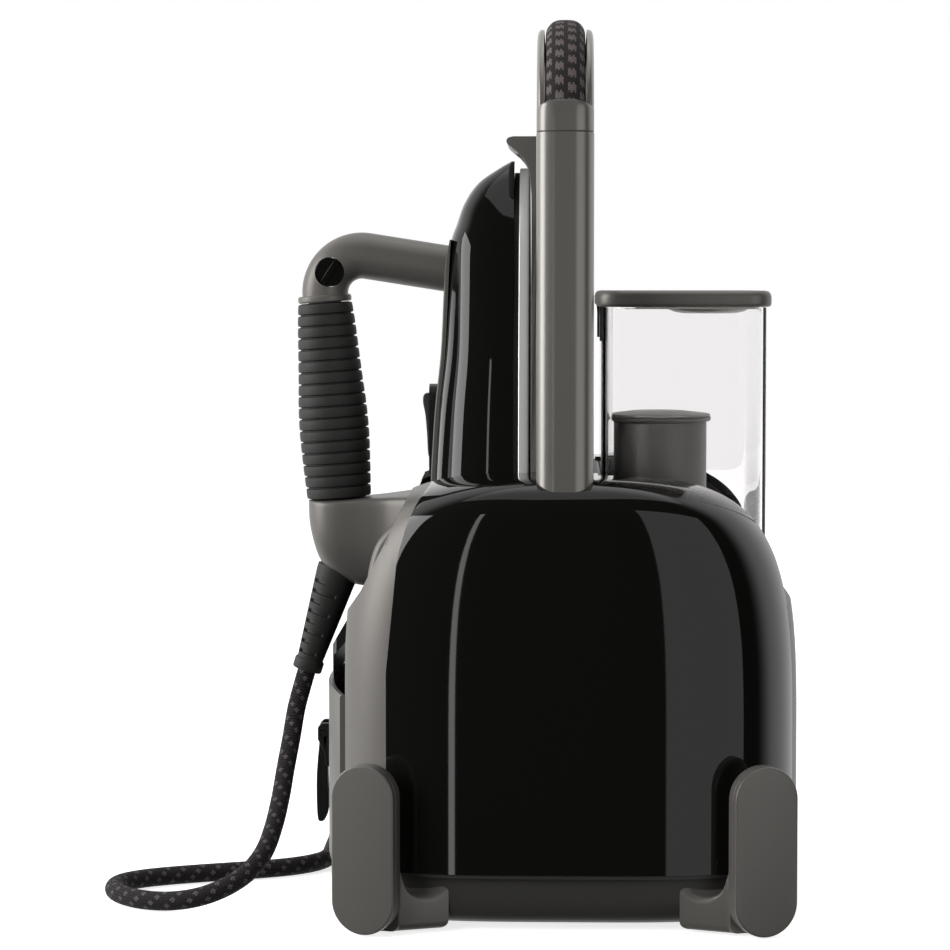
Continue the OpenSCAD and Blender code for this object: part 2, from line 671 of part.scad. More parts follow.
module lid_bracket() color(soft_black) station()
  for (y = [-1, 1]) translate([0, y * 58, 0]) {
    upright(8) polygon([
      [tank_x - 1.2, 268], [tank_x - 1.2, 280], [hinge_x - 3, hinge_z], [hinge_x - 1.6, hinge_z + 2.8],
      [hinge_x + 1.6, hinge_z + 2.8], [hinge_x + 3, hinge_z], [hinge_x + 1.5, tank_rim - 0.1],
      [tank_x - 0.05, tank_rim - 0.1], [tank_x - 0.05, 268]]);
    along_y([hinge_x, 0, hinge_z], 1.2, 20);
  }

module tank_lid() color(satin_grey) station() difference() {
  union() {
    upright(tank_d) union() {
      translate([hinge_x, hinge_z]) circle(lid_t / 2, $fn = 48);
      translate([hinge_x, tank_rim]) square([tank_x + tank_l + lid_over - 1.4 - hinge_x, lid_t]);
      translate([tank_x + tank_l + lid_over - 1.5, tank_rim + 1.4]) square([1.5, lid_t - 2.8]);
    }
    translate([tank_x + 2 * tank_corner - 8.5, 0, tank_rim - 2.6]) linear_extrude(2.7)
      translate([tank_l / 2 - 8.5, 0]) rounded(tank_l - 20, tank_d - 2 * tank_wall - 1, 9);
    translate([69, 0, tank_rim - 5]) cylinder(r1 = 16, r2 = 19, h = 5, $fn = 96);
  }
  for (y = [-1, 1]) {
    block([hinge_x - 6, y * 58 - 4.3, tank_rim - 1], [hinge_x + 4.2, y * 58 + 4.3, tank_rim + 9]);
    along_y([hinge_x, y * 58, hinge_z], 1.25, 22);
  }
}

// ---- Steam hose ----
function path_dir(p, i) = let (a = p[max(0, i - 1)], b = p[min(len(p) - 1, i + 1)]) (b - a) / norm(b - a);
// The reference direction is one that the hose never points along
function across(d) = let (s = cross(d, [0.5, -0.5, 0.7])) s / norm(s);
tube_sides = 10;
module swept(path) polyhedron(
  points = [for (i = [0 : len(path) - 1], k = [0 : tube_sides - 1])
    let (d = path_dir(path, i), s = across(d), u = cross(s, d), a = 360 * k / tube_sides)
    path[i] + hose_r * (cos(a) * s + sin(a) * u)],
  faces = skin(len(path), tube_sides));

module hose_lead() color([0.16, 0.14, 0.15]) station() swept(lead_points);
module hose_run() color([0.16, 0.14, 0.15]) station() swept(run_points);
module hose_coil() color([0.16, 0.14, 0.15]) station() translate([coil_x, coil_y, 0]) difference() {
  cylinder(r = coil_out, h = coil_h, $fn = 96);
  translate([0, 0, -1]) cylinder(r = coil_in, h = coil_h + 2, $fn = 96);
}

base_pan();
rubber_feet();
base_screws();
foot_post(-1, -1);  // foot_post_front_near
foot_post(-1, 1);  // foot_post_front_far
foot_post(1, -1);  // foot_post_rear_near
foot_post(1, 1);  // foot_post_rear_far
foot_cover(-1, -1);  // foot_cover_front_near
foot_cover(-1, 1);  // foot_cover_front_far
foot_cover(1, -1);  // foot_cover_rear_near
foot_cover(1, 1);  // foot_cover_rear_far
shell_near();
shell_far();
top_bridge();
front_cover();
front_frame();
dock_tray();
cradle_liner();
rear_cover();
tank_seat();
front_corners();
arch_leg_near();
arch_leg_far();
arch_collars();
arch_core();
arch_cheeks();
nose_guard();
boiler();
heating_element();
pump();
solenoid_valve();
control_board();
steam_pipe();
clip_bracket();
clip_lever();
hose_outlet();
mains_gland();
power_button();
rinse_cap();
soleplate();
sole_insulator();
steam_chamber();
iron_shell();
spine_cover();
handle_tube();
handle_caps();
grip_sleeve();
handle_base();
hose_boot();
trigger_bezel();
steam_trigger();
tank_shell();
tank_valve();
filter_cartridge();
cartridge_cap();
lid_bracket();
tank_lid();
hose_lead();
hose_coil();
hose_run();
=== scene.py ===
import json
import math

import bmesh
import bpy
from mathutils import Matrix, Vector


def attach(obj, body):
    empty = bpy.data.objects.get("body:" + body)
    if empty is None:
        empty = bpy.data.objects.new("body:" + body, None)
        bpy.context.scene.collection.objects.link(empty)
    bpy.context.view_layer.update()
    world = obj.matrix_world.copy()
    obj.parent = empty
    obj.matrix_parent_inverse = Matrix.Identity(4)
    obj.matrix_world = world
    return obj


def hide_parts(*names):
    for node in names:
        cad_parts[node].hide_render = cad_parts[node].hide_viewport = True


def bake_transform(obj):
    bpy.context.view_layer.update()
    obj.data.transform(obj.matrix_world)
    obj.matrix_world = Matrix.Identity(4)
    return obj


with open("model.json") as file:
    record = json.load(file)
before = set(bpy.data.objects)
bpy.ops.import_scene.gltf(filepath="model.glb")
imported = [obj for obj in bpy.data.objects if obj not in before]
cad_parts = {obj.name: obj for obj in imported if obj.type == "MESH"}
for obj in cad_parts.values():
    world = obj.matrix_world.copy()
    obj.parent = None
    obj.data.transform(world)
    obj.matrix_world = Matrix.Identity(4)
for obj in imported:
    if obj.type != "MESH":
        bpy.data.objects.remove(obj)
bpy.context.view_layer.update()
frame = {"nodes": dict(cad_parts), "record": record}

MM = 0.001
STATION_X = 10.0
CAMERA_AT = (0.010, -1.500, 0.2935)
CAMERA_LOOK = (-0.034, 0.0, 0.2012)
CAMERA_LENS = 116.15


# ---- Geometry helpers ----
def at(x, y, z):
    """A point of the station, in millimetres, as a point of the row frame."""
    return Vector(((x + STATION_X) * MM, y * MM, z * MM))


def link(name, mesh):
    obj = bpy.data.objects.new(name, mesh)
    bpy.context.scene.collection.objects.link(obj)
    return obj


def shade(mesh, sharp):
    mesh.shade_smooth()
    mesh.set_sharp_from_angle(angle=math.radians(sharp))


def turn_faces_out(mesh):
    work = bmesh.new()
    work.from_mesh(mesh)
    bmesh.ops.recalc_face_normals(work, faces=work.faces)
    work.to_mesh(mesh)
    work.free()


def solid(name, points, faces, sharp=35.0):
    mesh = bpy.data.meshes.new(name)
    mesh.from_pydata([at(*p) for p in points], [], faces)
    turn_faces_out(mesh)
    shade(mesh, sharp)
    return link(name, mesh)


def ring_faces(count, sides, wrap=False):
    """Faces between rings of equal length, closed by a cap at each end or joined round from last to first."""
    faces = []
    for k in range(count if wrap else count - 1):
        a, b = k * sides, (k + 1) % count * sides
        for i in range(sides):
            j = (i + 1) % sides
            faces.append((a + i, a + j, b + j, b + i))
    if not wrap:
        faces.append(tuple(range(sides - 1, -1, -1)))
        faces.append(tuple(range((count - 1) * sides, count * sides)))
    return faces


def loft(name, rings, wrap=False, sharp=35.0):
    points = [p for ring in rings for p in ring]
    return solid(name, points, ring_faces(len(rings), len(rings[0]), wrap), sharp)


def joined(name, parts, sharp=35.0):
    """One piece made of several meshes."""
    work = bmesh.new()
    for part in parts:
        work.from_mesh(part.data)
        bpy.data.objects.remove(part)
    mesh = bpy.data.meshes.new(name)
    work.to_mesh(mesh)
    work.free()
    shade(mesh, sharp)
    return link(name, mesh)


def mirrored(name, obj):
    """A copy of a piece on the other side of the middle plane."""
    mesh = obj.data.copy()
    mesh.name = name
    for v in mesh.vertices:
        v.co.y = -v.co.y
    mesh.flip_normals()
    return link(name, mesh)


def carve(obj, cutters, operation="DIFFERENCE", sharp=35.0):
    for cutter in cutters:
        step = obj.modifiers.new("cut", "BOOLEAN")
        step.operation = operation
        step.solver = "EXACT"
        step.object = cutter
    graph = bpy.context.evaluated_depsgraph_get()
    mesh = bpy.data.meshes.new_from_object(obj.evaluated_get(graph))
    obj.modifiers.clear()
    obj.data = mesh
    for cutter in set(cutters):
        bpy.data.objects.remove(cutter)
    shade(mesh, sharp)
    return obj


def duplicate(name, obj):
    return link(name, obj.data.copy())


def round_edges(obj, width, segments=3, angle=40.0):
    step = obj.modifiers.new("round", "BEVEL")
    step.width = width * MM
    step.segments = segments
    step.limit_method = "ANGLE"
    step.angle_limit = math.radians(angle)
    step.harden_normals = True
    return obj


def block(name, low, high):
    xs, ys, zs = zip(low, high)
    points = [(x, y, z) for z in zs for y in ys for x in xs]
    faces = [(0, 2, 3, 1), (4, 5, 7, 6), (0, 1, 5, 4), (2, 6, 7, 3), (0, 4, 6, 2), (1, 3, 7, 5)]
    return solid(name, points, faces)


def plate(name, outline, low_y, high_y):
    """An outline in the XZ plane with a thickness along Y."""
    rings = [[(x, y, z) for x, z in outline] for y in (low_y, high_y)]
    return loft(name, rings)


def square_to(direction, side):
    d = Vector(direction).normalized()
    u = (Vector(side) - d * d.dot(Vector(side))).normalized()
    return d, u, d.cross(u)


def turned(name, profile, origin, axis, sides=96, wrap=False, sharp=35.0):
    """A profile of (radius, distance) turned about an axis."""
    d, u, v = square_to(axis, (0.3, 0.9, 0.1))
    rings = []
    for r, s in profile:
        turns = [2 * math.pi * k / sides for k in range(sides)]
        rings.append([tuple(Vector(origin) + d * s + u * (r * math.cos(t)) + v * (r * math.sin(t))) for t in turns])
    return loft(name, rings, wrap, sharp)


def rounded_section(width, depth, radius, steps=10):
    """A rounded rectangle as a closed line."""
    line = []
    for quarter, (sx, sy) in enumerate([(1, 1), (-1, 1), (-1, -1), (1, -1)]):
        for k in range(steps + 1):
            t = math.pi / 2 * (quarter + k / steps)
            line.append((sx * (width / 2 - radius) + radius * math.cos(t),
                         sy * (depth / 2 - radius) + radius * math.sin(t)))
    return line


def curve_through(points, steps):
    """A smooth line through points, with a number of steps from each to the next."""
    pts = [Vector(p) for p in points]
    line = []
    for k in range(len(pts) - 1):
        a, b, c, d = pts[max(0, k - 1)], pts[k], pts[k + 1], pts[min(len(pts) - 1, k + 2)]
        for i in range(steps):
            t = i / steps
            line.append(0.5 * (2 * b + (c - a) * t + (2 * a - 5 * b + 4 * c - d) * t * t
                               + (3 * b - a - 3 * c + d) * t * t * t))
    line.append(pts[-1])
    return [tuple(p) for p in line]


def value_at(table, x):
    """A smooth value between the rows of a table of (place, value)."""
    if x <= table[0][0]:
        return table[0][1]
    for k in range(len(table) - 1):
        (x0, y0), (x1, y1) = table[k], table[k + 1]
        if x <= x1:
            xa, ya = table[max(0, k - 1)]
            xb, yb = table[min(len(table) - 1, k + 2)]
            m0 = (y1 - ya) / (x1 - xa)
            m1 = (yb - y0) / (xb - x0)
            h = x1 - x0
            t = (x - x0) / h
            return ((2 * t ** 3 - 3 * t ** 2 + 1) * y0 + (t ** 3 - 2 * t ** 2 + t) * h * m0
                    + (3 * t ** 2 - 2 * t ** 3) * y1 + (t ** 3 - t ** 2) * h * m1)
    return table[-1][1]


def bend_to(value, power):
    return math.copysign(abs(value) ** (2 / power), value)


def direction_at(path, k):
    return (Vector(path[min(k + 1, len(path) - 1)]) - Vector(path[max(k - 1, 0)])).normalized()


def lengths(path):
    total = [0.0]
    for a, b in zip(path, path[1:]):
        total.append(total[-1] + (Vector(b) - Vector(a)).length)
    return total


def add_weave_map(mesh, sides, around, along):
    """Map coordinates in millimetres: round the section, and along the path."""
    layer = mesh.uv_layers.new(name="weave")
    for face in mesh.polygons:
        places = [mesh.loops[i].vertex_index % sides for i in face.loop_indices]
        crosses = 0 in places and sides - 1 in places and len(places) == 4
        for i in face.loop_indices:
            k, p = divmod(mesh.loops[i].vertex_index, sides)
            u = around[sides] if crosses and p == 0 else around[p]
            layer.data[i].uv = (u, along[k])


def swept(name, path, section, side, sharp=35.0):
    """Carries a section along a path. side is the section's first axis; on a path that leaves one plane it turns along."""
    rings = []
    u = Vector(side)
    for k in range(len(path)):
        d = direction_at(path, k)
        u = (u - d * d.dot(u)).normalized()
        v = d.cross(u)
        rings.append([tuple(Vector(path[k]) + u * a + v * b) for a, b in section])
    obj = loft(name, rings, False, sharp)
    around = lengths([(a, b, 0) for a, b in section + section[:1]])
    add_weave_map(obj.data, len(section), around, lengths(path))
    return obj


def circle_section(radius, sides):
    return [(radius * math.cos(2 * math.pi * k / sides), radius * math.sin(2 * math.pi * k / sides))
            for k in range(sides)]


def arc(centre, radius, start, end, steps):
    """Points of an arc in a plane, from one angle to another in degrees."""
    return [(centre[0] + radius * math.cos(math.radians(start + (end - start) * k / steps)),
             centre[1] + radius * math.sin(math.radians(start + (end - start) * k / steps)))
            for k in range(steps + 1)]


def give(obj, body, look, *nodes):
    """Finishes a piece: its material, the CAD nodes it stands for and the body it moves with."""
    obj.data.materials.clear()
    obj.data.materials.append(LOOKS[look])
    if nodes:
        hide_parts(*nodes)
    if body:
        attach(obj, body)
    return obj


# ---- Materials ----
def tint(r, g, b):
    """A colour read as 0 to 255 screen values, as linear light."""
    def one(c):
        c = c / 255
        return c / 12.92 if c <= 0.04045 else ((c + 0.055) / 1.055) ** 2.4
    return (one(r), one(g), one(b), 1.0)


def start_look(name, colour, rough, metallic=0.0, specular=0.5):
    look = bpy.data.materials.new(name)
    look.use_nodes = True
    shader = look.node_tree.nodes["Principled BSDF"]
    shader.inputs["Base Color"].default_value = colour
    shader.inputs["Roughness"].default_value = rough
    shader.inputs["Metallic"].default_value = metallic
    shader.inputs["Specular IOR Level"].default_value = specular
    return look, look.node_tree, shader


def node(tree, kind, **settings):
    made = tree.nodes.new(kind)
    for key, value in settings.items():
        setattr(made, key, value)
    return made


def add_grain(tree, shader, scale, depth):
    """The fine grain of a moulded or painted surface."""
    place = node(tree, "ShaderNodeTexCoord")
    noise = node(tree, "ShaderNodeTexNoise")
    noise.inputs["Scale"].default_value = scale
    noise.inputs["Detail"].default_value = 3.0
    bump = node(tree, "ShaderNodeBump")
    bump.inputs["Strength"].default_value = depth
    bump.inputs["Distance"].default_value = 0.0002
    tree.links.new(place.outputs["Object"], noise.inputs["Vector"])
    tree.links.new(noise.outputs["Fac"], bump.inputs["Height"])
    tree.links.new(bump.outputs["Normal"], shader.inputs["Normal"])


def grained(name, colour, rough, metallic=0.0, scale=2500.0, depth=0.15, specular=0.5):
    look, tree, shader = start_look(name, colour, rough, metallic, specular)
    add_grain(tree, shader, scale, depth)
    return look


def gloss_look():
    look, tree, shader = start_look("gloss_black", tint(16, 16, 14), 0.04)
    shader.inputs["IOR"].default_value = 1.5
    return look


def clear_look():
    look, tree, shader = start_look("clear_tank", tint(247, 246, 246), 0.02)
    shader.inputs["Transmission Weight"].default_value = 1.0
    shader.inputs["IOR"].default_value = 1.12
    return look


def maths(tree, operation, a, b=None):
    made = node(tree, "ShaderNodeMath", operation=operation)
    for socket, value in zip(made.inputs, (a, b)):
        if value is None:
            continue
        if isinstance(value, (int, float)):
            socket.default_value = value
        else:
            tree.links.new(value, socket)
    return made.outputs[0]


def map_axes(tree):
    place = node(tree, "ShaderNodeUVMap", uv_map="weave")
    split = node(tree, "ShaderNodeSeparateXYZ")
    tree.links.new(place.outputs["UV"], split.inputs[0])
    return split.outputs["X"], split.outputs["Y"]


def below(tree, value, period, share, shift=0.0):
    """1 where value lies in the first share of its period."""
    part = maths(tree, "FRACT", maths(tree, "ADD", maths(tree, "DIVIDE", value, period), shift))
    return maths(tree, "LESS_THAN", part, share)


def threads(tree, value, period):
    """The round backs of threads laid side by side."""
    part = maths(tree, "FRACT", maths(tree, "DIVIDE", value, period))
    return maths(tree, "SINE", maths(tree, "MULTIPLY", part, math.pi))


def weave(tree, across, along, period):
    """Height of two crossing sets of threads, each on top in turn."""
    first = maths(tree, "ADD", across, along)
    second = maths(tree, "SUBTRACT", across, along)
    turn = maths(tree, "ADD", below(tree, first, 2 * period, 0.5), below(tree, second, 2 * period, 0.5))
    on_top = maths(tree, "COMPARE", turn, 1.0)
    one = maths(tree, "MULTIPLY", threads(tree, first, period), on_top)
    other = maths(tree, "MULTIPLY", threads(tree, second, period), maths(tree, "SUBTRACT", 1.0, on_top))
    return first, second, maths(tree, "ADD", one, other)


def woven(tree, shader, height, fleck, dark, light, depth):
    mix = node(tree, "ShaderNodeMix", data_type="RGBA")
    mix.inputs["A"].default_value = dark
    mix.inputs["B"].default_value = light
    tree.links.new(fleck, mix.inputs["Factor"])
    # Painted shade and highlight: the yarn colour is multiplied by the thread height, darker in the hollows between
    # threads and lighter on their backs.
    shade_in = node(tree, "ShaderNodeMix", data_type="RGBA", blend_type="MULTIPLY")
    shade_in.inputs["Factor"].default_value = 1.0
    ramp = node(tree, "ShaderNodeMapRange")
    ramp.inputs["To Min"].default_value = 0.35
    ramp.inputs["To Max"].default_value = 1.15
    tree.links.new(height, ramp.inputs["Value"])
    tree.links.new(mix.outputs["Result"], shade_in.inputs["A"])
    tree.links.new(ramp.outputs["Result"], shade_in.inputs["B"])
    tree.links.new(shade_in.outputs["Result"], shader.inputs["Base Color"])
    bump = node(tree, "ShaderNodeBump")
    bump.inputs["Strength"].default_value = 0.8
    bump.inputs["Distance"].default_value = depth
    tree.links.new(height, bump.inputs["Height"])
    tree.links.new(bump.outputs["Normal"], shader.inputs["Normal"])


def hose_look():
    """A braid of dark yarn with scattered lilac-grey flecks."""
    look, tree, shader = start_look("hose_textile", tint(40, 36, 38), 0.75, 0.0, 0.3)
    across, along = map_axes(tree)
    first, second, height = weave(tree, across, along, 1.5)
    fleck = maths(tree, "MULTIPLY", below(tree, first, 9.0, 0.34), below(tree, second, 6.0, 0.5))
    woven(tree, shader, height, fleck, tint(46, 43, 43), tint(98, 92, 96), 0.0005)
    return look


def grip_look():
    """Fine dark yarn with columns of pinkish grey patches, each column half a step off the next."""
    look, tree, shader = start_look("grip_textile", tint(52, 46, 46), 0.8, 0.0, 0.3)
    across, along = map_axes(tree)
    first, second, height = weave(tree, across, along, 0.9)
    column = maths(tree, "FLOOR", maths(tree, "DIVIDE", across, 5.8))
    half = maths(tree, "MULTIPLY", column, 0.5)
    slant = maths(tree, "MULTIPLY", below(tree, across, 1.9, 0.5), 0.14)
    row = maths(tree, "ADD", maths(tree, "ADD", maths(tree, "DIVIDE", along, 6.2), half), slant)
    fleck = maths(tree, "MULTIPLY", below(tree, across, 5.8, 0.66), below(tree, row, 1.0, 0.52))
    woven(tree, shader, height, fleck, tint(50, 46, 46), tint(118, 108, 108), 0.0003)
    return look


LOOKS = {
    "dark_plastic": grained("dark_plastic", tint(58, 57, 55), 0.42, 0.0, 2500.0, 0.06),
    "black_plastic": grained("black_plastic", tint(24, 24, 23), 0.38),
    "satin_grey": grained("satin_grey", tint(114, 111, 107), 0.38, 0.4, 2500.0, 0.08),
    "gloss_black": gloss_look(),
    "arch_metal": grained("arch_metal", tint(142, 139, 134), 0.3, 0.65, 2500.0, 0.08),
    "grip_textile": grip_look(),
    "hose_textile": hose_look(),
    "rubber": grained("rubber", tint(48, 47, 46), 0.6),
    "silicone": grained("silicone", tint(186, 185, 182), 0.5),
    "steel": grained("steel", tint(190, 190, 190), 0.3, 1.0),
    "aluminium": grained("aluminium", tint(234, 234, 233), 0.3, 0.35, 1200.0, 0.04),
    "brass": grained("brass", tint(200, 176, 120), 0.32, 1.0),
    "board": grained("board", tint(36, 96, 62), 0.5),
    "clear_tank": clear_look(),
}
SLOTS = {part["node"]: part["material_slot"] for part in frame["record"]["subparts"]}


# ---- Camera ----
def make_camera():
    data = bpy.data.cameras.new("photo_camera")
    data.sensor_width = 36.0
    data.lens = CAMERA_LENS
    obj = link("photo_camera", data)
    obj.location = CAMERA_AT
    obj.rotation_euler = (Vector(CAMERA_LOOK) - Vector(CAMERA_AT)).to_track_quat("-Z", "Y").to_euler()
    bpy.context.scene.camera = obj


make_camera()

# ---- Steam hose ----
HOSE_R = 4.5
COIL_AT = (-5.0, 201.0)
COIL_OUTER = 55.0
COIL_STEP = 9.0
HOSE_RUN = [
    (-126.3, 0, 107.1), (-129.2, 0, 97), (-132, -2, 86), (-134, -9, 72), (-136, -17, 59), (-137.6, -28, 46),
    (-139.6, -42, 34.5), (-143, -56, 24.5), (-149.5, -68, 17), (-159, -76, 11.5), (-171, -80, 7.5),
    (-185, -79, 5.2), (-199, -73, 4.6), (-210, -62, 4.6), (-216, -48, 4.6), (-215, -34, 4.6), (-207, -23, 4.6),
    (-195, -15, 4.6), (-180, -8, 4.6), (-165, -2, 4.6), (-150, 4, 4.6), (-137, 11, 4.6), (-127, 20, 4.6),
    (-121, 31, 4.6), (-119, 45, 4.6), (-119, 62, 4.6), (-119, 85, 4.6), (-119, 108, 4.6), (-116, 123, 4.6),
    (-108, 135, 4.6), (-96, 143, 4.6), (-81, 146, 4.6), (-60, 146, 4.6), (-39, 146, 4.6), (-18, 146, 4.6)]
HOSE_LEAD = [(-60, 190, 13.6), (-60, 178, 13.6), (-60, 166, 13.7), (-60, 152, 14.2), (-60, 140, 14.8),
             (-60, 131.2, 15)]


def coil_step(place):
    """Radius and height of the coil at an angle in degrees from its start."""
    def ease(start):
        t = min(1.0, max(0.0, (place - start) / 90))
        return math.pi / 2 * t * t * (3 - 2 * t)
    inner = COIL_OUTER - COIL_STEP
    radius = inner + COIL_STEP * math.cos(ease(180))
    height = HOSE_R + COIL_STEP * math.sin(ease(540))
    if place >= 900:
        radius = inner + COIL_STEP * math.sin(ease(900))
        height = HOSE_R + COIL_STEP * (math.sin(ease(900)) + math.cos(ease(900)))
    return radius, height


def coil_path():
    line = []
    for place in range(-87, 1261, 3):
        radius, height = coil_step(place)
        t = math.radians(place)
        line.append((COIL_AT[0] + radius * math.cos(t), COIL_AT[1] + radius * math.sin(t), height))
    return line


def hose_path():
    return curve_through(HOSE_RUN, 8) + coil_path() + curve_through(HOSE_LEAD, 4)[1:]


def make_hose():
    path = hose_path()
    hose = swept("steam_hose", path, circle_section(HOSE_R, 24), (0.0, 1.0, 0.0))
    give(hose, None, "hose_textile", "hose_lead", "hose_coil", "hose_run")
    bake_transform(hose)


make_hose()


# ---- Station body ----
HALF_L = 111.0
HALF_D = 125.0
SHOULDER_Z = 65.0
BODY_TOP = 206.0
SIDE_POWER = 4.0
SEAM_Z = 27.0
WALL = 2.5
RIM_R = 18.0
FRONT_X = -101.5
SEAT_X = 15.5
LEG_Y = 108.0
CORNER_EDGE = [(-81.3, 20), (-81.3, 118), (-78.7, 144), (-76.4, 168), (-75, 174.5), (-72, 184.5), (-68.6, 192.6),
               (-66, 197), (-63, 201), (-61, 208)]


def plan_ring(a, b, z, power=4.0, sides=180):
    """A rounded plan outline with points spread evenly by angle."""
    ring = []
    for k in range(sides):
        t = 2 * math.pi * (k + 0.5) / sides
        r = (abs(math.cos(t) / a) ** power + abs(math.sin(t) / b) ** power) ** (-1 / power)
        ring.append((r * math.cos(t), r * math.sin(t), z))
    return ring


def body_rings(inset):
    """Levels of the body's rounded block, from the seam up to its top."""
    top = BODY_TOP - inset
    rings = [plan_ring(HALF_L - inset, HALF_D - inset, z) for z in (SEAM_Z, 45.0, SHOULDER_Z)]
    for k in range(1, 47):
        u = math.radians(90 * (1 - (1 - k / 47) ** 1.5))
        z = SHOULDER_Z + (top - SHOULDER_Z) * math.sin(u) ** (2 / SIDE_POWER)
        rise = max(0.0, z - top + RIM_R - inset)
        drop = (RIM_R - inset) - math.sqrt(max(0.0, (RIM_R - inset) ** 2 - rise ** 2))
        rings.append(plan_ring((HALF_L - inset) * math.cos(u) ** (2 / SIDE_POWER), HALF_D - inset - drop, z))
    return rings


def body_hollow(name):
    outer = body_rings(0.0)
    inner = body_rings(WALL)
    sides = len(outer[0])
    count = len(outer)
    points = [p for ring in outer + inner for p in ring]
    faces = [f for f in ring_faces(count, sides)[:-2]]
    faces += [tuple(i + count * sides for i in f) for f in ring_faces(count, sides)[:-2]]
    faces.append(tuple(range((count - 1) * sides, count * sides)))
    faces.append(tuple(range((2 * count - 1) * sides, 2 * count * sides)))
    for i in range(sides):
        j = (i + 1) % sides
        faces.append((i, j, count * sides + j, count * sides + i))
    return solid(name, points, faces)


def leg_hole():
    outline = rounded_section(LEG_W + 0.3, LEG_D + 0.3, 9.15)
    return loft("leg_hole", [[(x, y - LEG_Y, z) for x, y in outline] for z in (100, 300)])


def dock_notch():
    outline = [(-71.5, 198.5), (-83, 174.8), (-93.6, 154), (-100.5, 144), (FRONT_X, 127), (-140, 127), (-140, 230),
               (-71.5, 230)]
    return plate("dock_notch", outline, -200, 200)


def corner_zone():
    return plate("corner_zone", [(-140, 20)] + CORNER_EDGE + [(-140, 208)], -200, 200)


def make_side_walls():
    """The near side's gloss panel and front corner, cut from the body's block and mirrored for the far side."""
    walls = body_hollow("shell_near_skin")
    cutters = [block("dock_cut", (-200, -62, 0), (SEAT_X, 200, 300)),
               block("seat_cut", (SEAT_X - 0.01, -79.3, 0), (200, 200, 300)),
               block("front_cut", (-200, -200, 0), (FRONT_X, 200, 300)),
               dock_notch(), leg_hole()]
    carve(walls, cutters)
    corner = carve(duplicate("front_corner_near", walls), [corner_zone()], "INTERSECT")
    panel = carve(walls, [corner_zone()])
    far_panel = mirrored("shell_far_skin", panel)
    far_corner = mirrored("front_corner_far", corner)
    corners = joined("front_corner_skins", [corner, far_corner])
    give(panel, "station", "gloss_black", "shell_near")
    give(far_panel, "station", "gloss_black", "shell_far")
    give(corners, "station", "satin_grey", "front_corners")


def make_rear_cover():
    cover = carve(body_hollow("rear_skin"), [block("rear_zone", (60, -79, SEAM_Z), (130, 79, 145.8))], "INTERSECT")
    holes = [turned("hole", [(r, 90), (r, 130)], (0, y, z), (1, 0, 0))
             for r, y, z in ((9.3, 0, 116), (15.3, 40, 60), (7.1, 0, 36))]
    give(carve(cover, holes), "station", "black_plastic", "rear_cover")


def make_base_pan():
    """The pan: a lip under the shells, a recessed skirt with a rounded foot, and a hollow inside."""
    steps = [(3.7, 27.0), (1.2, 27.0), (1.2, 25.2), (5.0, 25.0), (5.1, 14.0), (6.0, 9.0), (8.0, 5.4), (11.5, 3.4),
             (16.0, 3.0)]
    rings = [plan_ring(HALF_L - i, HALF_D - i, z) for i, z in [(12.0, 6.0), (10.0, 6.4), (8.5, 24.6)] + steps]
    pan = loft("base_skin", rings)
    carve(pan, [block("front_step", (-130, -95, 24.9), (-101.3, 95, 28))])
    give(pan, "station", "dark_plastic", "base_pan")


def bulge_x(face, y):
    return face + 366.0 - math.sqrt(366.0 ** 2 - y * y)


def make_front_cover():
    rings = []
    for k in range(65):
        y = -88 + 176 * k / 64
        out, back = bulge_x(-115.0, y), bulge_x(-115.0, y) + WALL
        rings.append([(out + 0.8, y, 20), (out, y, 20.8), (out, y, 103.2), (out + 0.8, y, 104), (back, y, 104),
                      (back, y, 20)])
    give(loft("front_skin", rings), "station", "satin_grey", "front_cover")


def inset_line(line, distance):
    """A closed line moved inwards along its own normals."""
    moved = []
    n = len(line)
    area = sum(line[k][0] * line[(k + 1) % n][1] - line[(k + 1) % n][0] * line[k][1] for k in range(n))
    turn = 1 if area > 0 else -1
    for k in range(n):
        (xa, za), (xb, zb) = line[k - 1], line[(k + 1) % n]
        d = math.hypot(xb - xa, zb - za) or 1.0
        moved.append((line[k][0] - turn * (zb - za) / d * distance, line[k][1] + turn * (xb - xa) / d * distance))
    return moved


def pillow(name, line, back_y, face_y, radius, steps=6):
    """A plate whose face at face_y has edges rounded to a radius."""
    side = 1 if face_y > back_y else -1
    rings = [[(x, back_y, z) for x, z in line]]
    for k in range(steps + 1):
        t = math.pi / 2 * k / steps
        inner = inset_line(line, radius * (1 - math.cos(t)))
        y = face_y - side * radius * (1 - math.sin(t))
        rings.append([(x, y, z) for x, z in inner])
    return loft(name, rings)


LINER_EDGE = [(-40, 204), (-57, 201), (-66, 195.5), (-77, 185.5), (-84, 178.5), (-89, 172), (-92, 163), (-94, 151),
              (-96, 141.6)]


def make_liner():
    """The cradle: two side walls with a rounded front edge, and a back wall."""
    front = curve_through(LINER_EDGE, 4)
    line = [(-16.3, 137.0), (-16.3, 205.6)] + front + [(-96, 137.0)]
    near = pillow("liner_near", line, -57.4, -61.7, 4.2)
    far = mirrored("liner_far", near)
    back = block("liner_back", (-16.2, -59.5, 137), (-14.2, 59.5, 205.6))
    liner = joined("liner_skin", [near, far, back])
    give(liner, "station", "satin_grey", "cradle_liner")


# ---- Corner posts ----
POST_AT = (89.6, 127.0)
POST_TURN = math.radians(20)
POST_W = 30.5
POST_LOW = 0.6
POST_TOP = 78.0
ARM_TOP = [(5.0, 34.0), (7.0, 24.0), (9.5, 19.5), (13.0, 17.2), (17.0, 17.4), (19.5, 19.5), (22.0, 23.0),
           (31.0, 24.0)]


def from_corner(p, sx, sy):
    """A point of a post's own frame, moved to one of the station's corners."""
    x = POST_AT[0] + p[0] * math.cos(POST_TURN) + p[1] * math.sin(POST_TURN)
    y = POST_AT[1] - p[0] * math.sin(POST_TURN) + p[1] * math.cos(POST_TURN)
    return (sx * x, sy * y, p[2])


